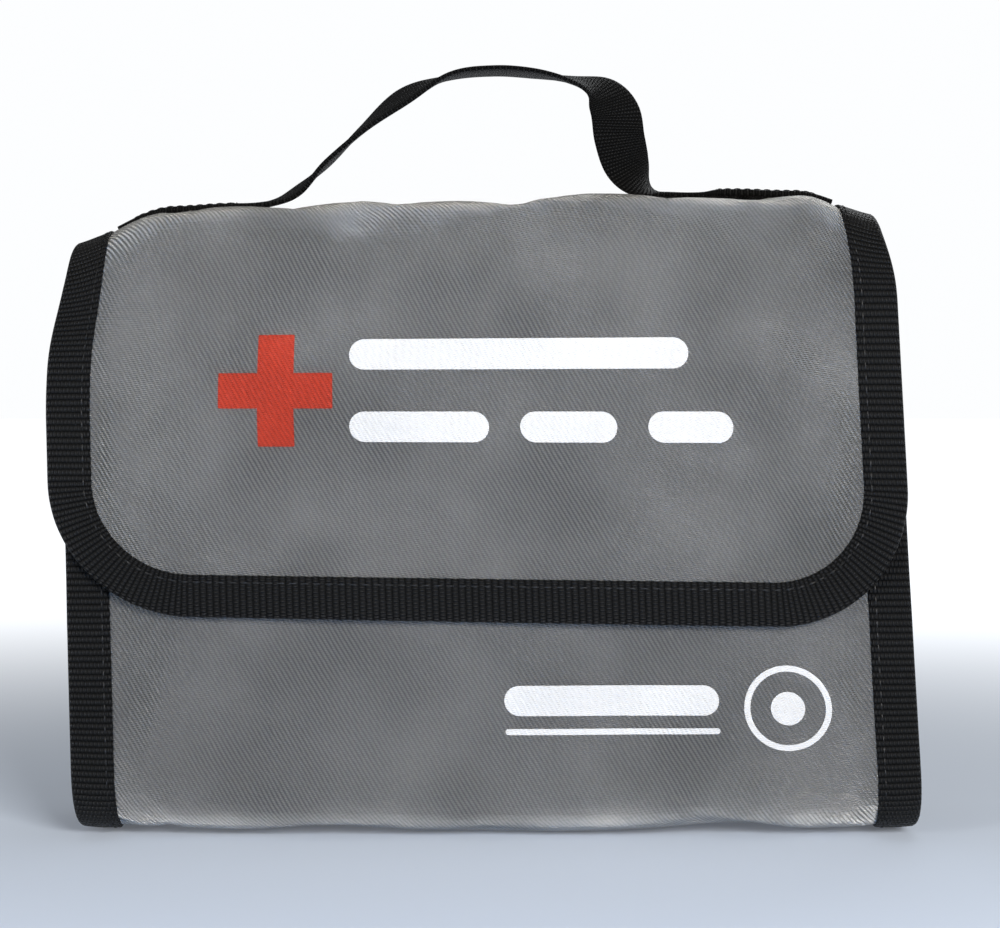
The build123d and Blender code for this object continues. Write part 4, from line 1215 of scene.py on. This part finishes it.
# %% Plain finishes for the supplies
def plain(name, colour, roughness, bump, grain, metallic=0.0, coat=0.0, stretch=(1, 1, 1)):
    """A finish from Object coordinates: noise at a grain size gives a slight colour
    change, roughness and bump."""
    material, tree, shader = node_tree_for(name)
    place = tree.nodes.new("ShaderNodeTexCoord")
    mapping = tree.nodes.new("ShaderNodeMapping")
    mapping.inputs["Scale"].default_value = stretch
    tree.links.new(place.outputs["Object"], mapping.inputs[0])
    noise = tree.nodes.new("ShaderNodeTexNoise")
    noise.inputs["Scale"].default_value = 1 / grain
    noise.inputs["Detail"].default_value = 4
    tree.links.new(mapping.outputs[0], noise.inputs["Vector"])
    ramp = tree.nodes.new("ShaderNodeMix")
    ramp.data_type = "RGBA"
    ramp.inputs["A"].default_value = (*[c * 0.82 for c in colour], 1)
    ramp.inputs["B"].default_value = (*[min(1, c * 1.12) for c in colour], 1)
    tree.links.new(noise.outputs[0], ramp.inputs["Factor"])
    tree.links.new(ramp.outputs["Result"], shader.inputs["Base Color"])
    rough = math_node(tree, "ADD", math_node(tree, "MULTIPLY", noise.outputs[0], 0.2), roughness - 0.1)
    tree.links.new(rough, shader.inputs["Roughness"])
    bumped = tree.nodes.new("ShaderNodeBump")
    bumped.inputs["Distance"].default_value = bump
    tree.links.new(noise.outputs[0], bumped.inputs["Height"])
    tree.links.new(bumped.outputs[0], shader.inputs["Normal"])
    shader.inputs["Metallic"].default_value = metallic
    shader.inputs["Coat Weight"].default_value = coat
    return material


# As on the bag, each cloth's two colours are painted highlight on the raised yarns and painted shade in the
# grooves.
gauze_cloth = cloth(
    "gauze", tape_group, gray(0.80), gray(0.52), 0.85, 0.25 * MM, sheen=0.3,
    pitches={"Rib Pitch": 0.9 * MM, "Lump Pitch": 0.9 * MM},
)
elastic_cloth = cloth(
    "elastic", tape_group, (0.62, 0.44, 0.30), (0.36, 0.24, 0.15), 0.80, 0.25 * MM, sheen=0.3,
    pitches={"Rib Pitch": 1.1 * MM, "Lump Pitch": 2.6 * MM},
)
cohesive_cloth = cloth(
    "cohesive", tape_group, (0.16, 0.30, 0.55), (0.07, 0.14, 0.30), 0.70, 0.30 * MM, sheen=0.2,
    pitches={"Rib Pitch": 1.6 * MM, "Lump Pitch": 1.1 * MM},
)
folded_cotton = cloth(
    "folded_cotton", tape_group, gray(0.74), gray(0.55), 0.85, 0.08 * MM, sheen=0.3,
    pitches={"Rib Pitch": 0.6 * MM, "Lump Pitch": 0.6 * MM},
)
tape_white = plain("adhesive_tape", (0.80, 0.78, 0.74), 0.5, 0.05 * MM, 0.6 * MM, stretch=(1, 3, 3))
core_board = plain("core_board", (0.42, 0.30, 0.18), 0.85, 0.10 * MM, 0.8 * MM)
carton_board = plain("carton_board", (0.80, 0.80, 0.78), 0.45, 0.02 * MM, 1.5 * MM, coat=0.2)
foil_film = plain("foil_film", (0.78, 0.78, 0.80), 0.26, 0.5 * MM, 6 * MM, metallic=1.0)
glove_film = plain("glove_film", (0.22, 0.42, 0.68), 0.38, 0.35 * MM, 4 * MM)
cold_film = plain("cold_film", (0.55, 0.72, 0.86), 0.34, 0.4 * MM, 5 * MM, coat=0.3)
packet_paper = plain("packet_paper", (0.82, 0.81, 0.77), 0.6, 0.08 * MM, 1.2 * MM)
wipe_film = plain("wipe_film", (0.70, 0.80, 0.74), 0.35, 0.3 * MM, 3 * MM)
leaflet_paper = plain("leaflet_paper", (0.80, 0.76, 0.62), 0.65, 0.04 * MM, 0.9 * MM)
steel = plain(
    "brushed_steel", (0.62, 0.62, 0.63), 0.32, 0.02 * MM, 0.5 * MM, metallic=1.0, stretch=(6, 6, 0.4)
)
red_plastic = plain("moulded_plastic", (0.55, 0.030, 0.022), 0.36, 0.015 * MM, 0.6 * MM)

# %% Rolls
def wound_roll(name, node, material, pitch, bore=3 * MM, lie=False, soft=0.35 * MM):
    """A wound band: its side radius grows by one layer per turn with a step at the loose end,
    and its ends carry a spiral groove, which is a wave in radius / pitch - turn. A roll that
    lies has its axis along x."""
    low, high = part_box(node)
    centre = (low + high) / 2
    length = (high.x - low.x) if lie else (high.z - low.z)
    radius = min((high.y - low.y), (high.z - low.z) if lie else (high.x - low.x)) / 2
    turn = np.concatenate([np.linspace(0, 0.985, 90), [0.992]])
    reach = np.linspace(0, 1, 40)
    top_r, top_z = bore + (radius - bore) * reach, np.full(40, 1.0)
    side_r, side_z = np.full(12, radius), np.linspace(1, -1, 14)[1:-1]
    r = np.concatenate([top_r, side_r, top_r[::-1], np.full(6, bore)])
    z = np.concatenate([top_z, side_z, -top_z, np.linspace(-1, 1, 8)[1:-1]])
    spiral = np.sin(2 * np.pi * (r[:, None] / pitch - turn[None, :]))
    on_end = (np.abs(z) > 0.999)[:, None]
    bulge = 1 - 0.012 * (1 - z[:, None] ** 2) * (r[:, None] >= radius)
    rr = r[:, None] * bulge * (1 - 0.022 * (r[:, None] / radius) ** 4 * (1 - turn[None, :]))
    zz = z[:, None] * (
        length / 2 - on_end * (soft * (1 - spiral) + 0.5 * MM * (r[:, None] / radius - 0.6) ** 2)
    )
    a, b = rr * np.cos(2 * np.pi * turn + 0.7), rr * np.sin(2 * np.pi * turn + 0.7)
    axis = np.broadcast_to(zz, a.shape)
    if lie:
        points = np.stack([centre.x + axis, centre.y + a, centre.z + b], -1)
    else:
        points = np.stack([centre.x + a, centre.y + b, centre.z + axis], -1)
    uv = np.stack(
        [np.broadcast_to(np.append(turn, 1.0) * 2 * np.pi * radius, (len(r) + 1, 92)),
         np.broadcast_to(np.cumsum(np.append(0, np.full(len(r), 1.0 * MM)))[:, None], (len(r) + 1, 92))], -1
    )
    roll = piece_from(
        name, [patch(settled(points), uv, close_rows=True, close_cols=True)], material, body=case_body,
    )
    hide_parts(node)
    return roll


for name, node, material, slot, pitch in (
    ("elastic_roll", "elastic_bandage", elastic_cloth, "elastic_cloth", 2.2 * MM),
    ("cohesive_roll", "cohesive_bandage", cohesive_cloth, "cohesive_cloth", 2.0 * MM),
    ("gauze_roll", "gauze_bandage", gauze_cloth, "gauze", 1.8 * MM),
):
    wound_roll(name, node, material, pitch)
wound_roll(
    "white_tape_roll", "tape_roll", tape_white, 1.1 * MM, bore=11 * MM, lie=True,
    soft=0.06 * MM
)
wound_roll(
    "tape_roll_core", "tape_core", core_board, 9 * MM, bore=9.5 * MM, lie=True, soft=0
)


# %% Packets and folded cloth
def pillow(
    name, node, material, thin="y", rim=4 * MM, crinkle=0.4 * MM, seed=1, full=2.6, crimp=0.12 * MM
):
    """Two films sealed round a rim: half the thickness is (1 - |u|^n)^(1/n) by (1 - |v|^n)^(1/n) inside
    the rim, with crimps across the rim and wrinkles as a sum of seeded sines that vanish at the seal."""
    low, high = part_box(node)
    axes = [k for k in "xyz" if k != thin]
    size = [getattr(high, k) - getattr(low, k) for k in axes]
    deep = (getattr(high, thin) - getattr(low, thin)) / 2
    u, v = np.meshgrid(
        np.sin(np.linspace(-np.pi / 2, np.pi / 2, 72)), np.sin(np.linspace(-np.pi / 2, np.pi / 2, 64))
    )
    inside_u = np.clip(np.abs(u) / (1 - 2 * rim / size[0]), 0, 1)
    inside_v = np.clip(np.abs(v) / (1 - 2 * rim / size[1]), 0, 1)
    plump = ((1 - inside_u**full) * (1 - inside_v**full)) ** (1 / full)
    rng = np.random.default_rng(seed)
    wrinkle = sum(
        rng.uniform(0.3, 1) * np.sin(
            rng.uniform(3, 14) * u + rng.uniform(-14, 14) * v + rng.uniform(0, 6.3)
        )
        for _ in range(7)
    )
    half = 0.22 * MM + (deep - 0.5 * MM - crinkle) * plump + crinkle * 0.35 * wrinkle * np.sqrt(plump)
    half = np.clip(half, 0.15 * MM, deep - 0.05 * MM)
    seal = crimp * np.sin(np.pi * (u * size[0] + v * size[1]) / (1.1 * MM)) * (plump < 0.02)
    a = (getattr(low, axes[0]) + getattr(high, axes[0])) / 2 + u * size[0] / 2
    b = (getattr(low, axes[1]) + getattr(high, axes[1])) / 2 + v * size[1] / 2
    centre = (getattr(low, thin) + getattr(high, thin)) / 2
    sides = []
    for sign in (-1, 1):
        place = {axes[0]: a, axes[1]: b, thin: centre + sign * half + seal}
        sides.append(settled(np.stack([place["x"], place["y"], place["z"]], -1)))
    packet = piece_from(name, slab(sides[0], sides[1], flat_uv(a, b)), material, body=case_body)
    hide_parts(node)
    return packet


for name, node, material, slot, thin, rim, crinkle, seed, full in (
    ("cold_pouch", "cold_pack", cold_film, "cold_pouch", "y", 5 * MM, 0.8 * MM, 3, 3.0),
    ("gauze_pad_packets", "gauze_pads", packet_paper, "paper_packet", "y", 5 * MM, 0.5 * MM, 5, 6.0),
    ("wipe_packets", "wipes_packet", wipe_film, "wipe_film", "y", 4 * MM, 0.5 * MM, 7, 6.0),
    ("foil_blanket_pack", "foil_blanket", foil_film, "foil", "y", 1.5 * MM, 1.2 * MM, 11, 9.0),
    ("glove_pack", "glove_packet", glove_film, "nitrile", "z", 3 * MM, 1.0 * MM, 13, 5.0),
):
    packet = pillow(name, node, material, thin, rim, crinkle, seed, full)


def layered_block(name, node, material, along, pitch, square=0.22, groove=0.35 * MM):
    """A folded block: a rounded box (a superellipsoid with powers near a fifth) whose sides carry
    grooves, one for each folded layer, as |sin(pi position / pitch)| along the stacking direction."""
    low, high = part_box(node)
    centre, half = (low + high) / 2, (high - low) / 2
    up = np.linspace(-np.pi / 2, np.pi / 2, 70)[:, None]
    turn = np.linspace(0, 2 * np.pi, 121)[None, :-1]

    def power(value):
        return np.sign(value) * np.abs(value) ** square

    x = power(np.cos(up)) * power(np.cos(turn))
    y = power(np.cos(up)) * power(np.sin(turn))
    z = power(np.sin(up)) * np.ones_like(turn)
    stack = {"x": x * half.x, "z": z * half.z}[along]
    flat_side = np.abs({"x": x, "z": z}[along]) > 0.97
    pinch = 1 - groove / half.y * (1 - np.abs(np.sin(np.pi * stack / pitch)) ** 0.5) * ~flat_side
    points = np.stack(
        [centre.x + x * half.x * (1 if along == "x" else pinch), centre.y + y * half.y * pinch,
         centre.z + z * half.z * (1 if along == "z" else pinch)], -1
    )
    uv = flat_uv(
        np.append(turn, 2 * np.pi)[None, :] * 20 * MM, np.linspace(0, 60 * MM, 70)[:, None]
    )
    block = piece_from(
        name, [patch(settled(points), uv, close_cols=True)], material, body=case_body
    )
    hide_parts(node)
    return block


folded = layered_block(
    "folded_triangle_cloth", "triangular_bandage", folded_cotton, "x", 3.4 * MM
)
layered_block("plaster_box", "plaster_carton", carton_board, "z", 0.094, square=0.05, groove=0.0)

low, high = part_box("guide_leaflet")
x, z = np.meshgrid(np.linspace(low.x, high.x, 40), np.linspace(low.z, high.z, 40))
curl = 0.10 * MM * np.sin((x - low.x) / 0.017)
leaf_front = settled(np.stack([x, low.y + 0.12 * MM + curl, z], -1))
leaf_back = settled(np.stack([x, high.y - 0.12 * MM + curl, z], -1))
leaflet = piece_from(
    "guide_sheet", slab(leaf_front, leaf_back, flat_uv(x, z)), leaflet_paper, body=case_body
)
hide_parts("guide_leaflet")

# %% Finishes for the tools, which keep their exact shapes
tool_finish = {"blade": steel, "rivet": steel, "arm": steel, "bow": red_plastic}
for item in bpy.data.objects:
    if item.type != "MESH" or not item.name.startswith(("scissors", "tweezers")):
        continue
    for ending, finish in tool_finish.items():
        if item.name.endswith(ending):
            item.data.materials.clear()
            item.data.materials.append(finish)
            print("finished", item.name)

# %% [markdown]
# ## Floor, light and camera
#
# A pale floor is enough of a studio. Its emission is painted light that rises with the distance from the
# bag: low near the bag, which paints a shadow round it on top of the bag's real shadow, and nearly full
# further out, so that it runs into the white background without a line. Large soft lights then do the rest:
# a warm key from the front, a side light, weak ones overhead and behind, and a cool strip low in front for
# the round lower edge.

# %% Stage
radius = np.concatenate([[0.001], np.geomspace(0.05, 12, 40)])[:, None]
turn = np.linspace(0, 2 * np.pi, 97)[None, :]
floor_x, floor_y = radius * np.cos(turn), radius * np.sin(turn)
floor_grid = np.stack(np.broadcast_arrays(floor_x, floor_y, 0.0), -1)
floor_points, floor_faces, _ = patch(floor_grid[:, :-1], flat_uv(floor_x, floor_y), close_cols=True)
floor_material, floor_tree, floor_shader = node_tree_for("pale_floor")
floor_shader.inputs["Base Color"].default_value = (0.45, 0.52, 0.63, 1)
floor_shader.inputs["Roughness"].default_value = 0.9
floor_shader.inputs["Emission Color"].default_value = (0.99, 0.995, 1, 1)
floor_place = floor_tree.nodes.new("ShaderNodeTexCoord")
floor_reach = floor_tree.nodes.new("ShaderNodeVectorMath")
floor_reach.operation = "LENGTH"
floor_tree.links.new(floor_place.outputs["Object"], floor_reach.inputs[0])
# Painted light and painted shadow: the floor's emission grows from 0.10 near the bag to 0.95 far out.
glow = floor_tree.nodes.new("ShaderNodeMapRange")
glow.interpolation_type = "SMOOTHSTEP"
for socket, value in (("From Min", 0.12), ("From Max", 0.9), ("To Min", 0.10), ("To Max", 0.95)):
    glow.inputs[socket].default_value = value
floor_tree.links.new(floor_reach.outputs["Value"], glow.inputs["Value"])
floor_tree.links.new(glow.outputs[0], floor_shader.inputs["Emission Strength"])
floor_mesh = bpy.data.meshes.new("floor")
floor_mesh.from_pydata(floor_points.tolist(), [], floor_faces.tolist())
floor_mesh.materials.append(floor_material)
floor = bpy.data.objects.new("floor", floor_mesh)
bpy.context.collection.objects.link(floor)


def soft_light(name, place, aim, size, power, colour):
    """A square area light at a place, turned so that its -Z axis points at its aim."""
    data = bpy.data.lights.new(name, "AREA")
    data.shape, data.size, data.size_y = "RECTANGLE", *size
    data.energy, data.color = power, colour
    light = bpy.data.objects.new(name, data)
    light.location = place
    light.visible_camera = False
    direction = light.location.copy()
    direction.x, direction.y, direction.z = (aim[i] - place[i] for i in range(3))
    light.rotation_euler = direction.to_track_quat("-Z", "Y").to_euler()
    bpy.context.collection.objects.link(light)


middle = (0, 0, 0.09)
soft_light("key", (0.42, -1.25, 0.40), middle, (0.42, 0.30), 30, (1.0, 0.95, 0.88))
soft_light("low_fill", (0, -0.42, 0.030), (0, 0, 0.02), (0.50, 0.04), 0.9, (0.12, 0.42, 1.0))
soft_light("side", (-0.85, -1.05, 0.30), middle, (0.28, 0.45), 10, (1.0, 0.97, 0.91))
soft_light("overhead", (0, -0.2, 2.0), (0, -0.2, 0), (1.6, 1.2), 4, (1, 1, 1))
soft_light("behind", (0.5, 1.6, 0.9), middle, (0.9, 0.6), 4, (0.95, 0.98, 1.0))

world = bpy.data.worlds.new("studio")
world.use_nodes = True
world_tree = world.node_tree
lighting = world_tree.nodes["Background"]
lighting.inputs[0].default_value = (0.95, 0.97, 1.0, 1)
lighting.inputs[1].default_value = 0.17
seen = world_tree.nodes.new("ShaderNodeBackground")
seen.inputs[1].default_value = 1.0
seen.inputs[0].default_value = (0.98, 0.99, 1.0, 1)
which_ray = world_tree.nodes.new("ShaderNodeLightPath")
choose = world_tree.nodes.new("ShaderNodeMixShader")
world_tree.links.new(which_ray.outputs["Is Camera Ray"], choose.inputs[0])
world_tree.links.new(lighting.outputs[0], choose.inputs[1])
world_tree.links.new(seen.outputs[0], choose.inputs[2])
world_tree.links.new(choose.outputs[0], world_tree.nodes["World Output"].inputs[0])
bpy.context.scene.world = world
bpy.context.scene.view_settings.view_transform = "Standard"

camera_data = bpy.data.cameras.new("camera")
camera_data.sensor_width, camera_data.lens = 36, 97
camera = bpy.data.objects.new("camera", camera_data)
aim = (2.6 * MM, FLAP_FACE, 99.7 * MM)
distance, rise = 0.70, math.radians(1.5)
camera.location = (aim[0], aim[1] - distance * math.cos(rise), aim[2] + distance * math.sin(rise))
camera.rotation_euler = (math.pi / 2 - rise, 0, 0)
bpy.context.collection.objects.link(camera)
bpy.context.scene.camera = camera
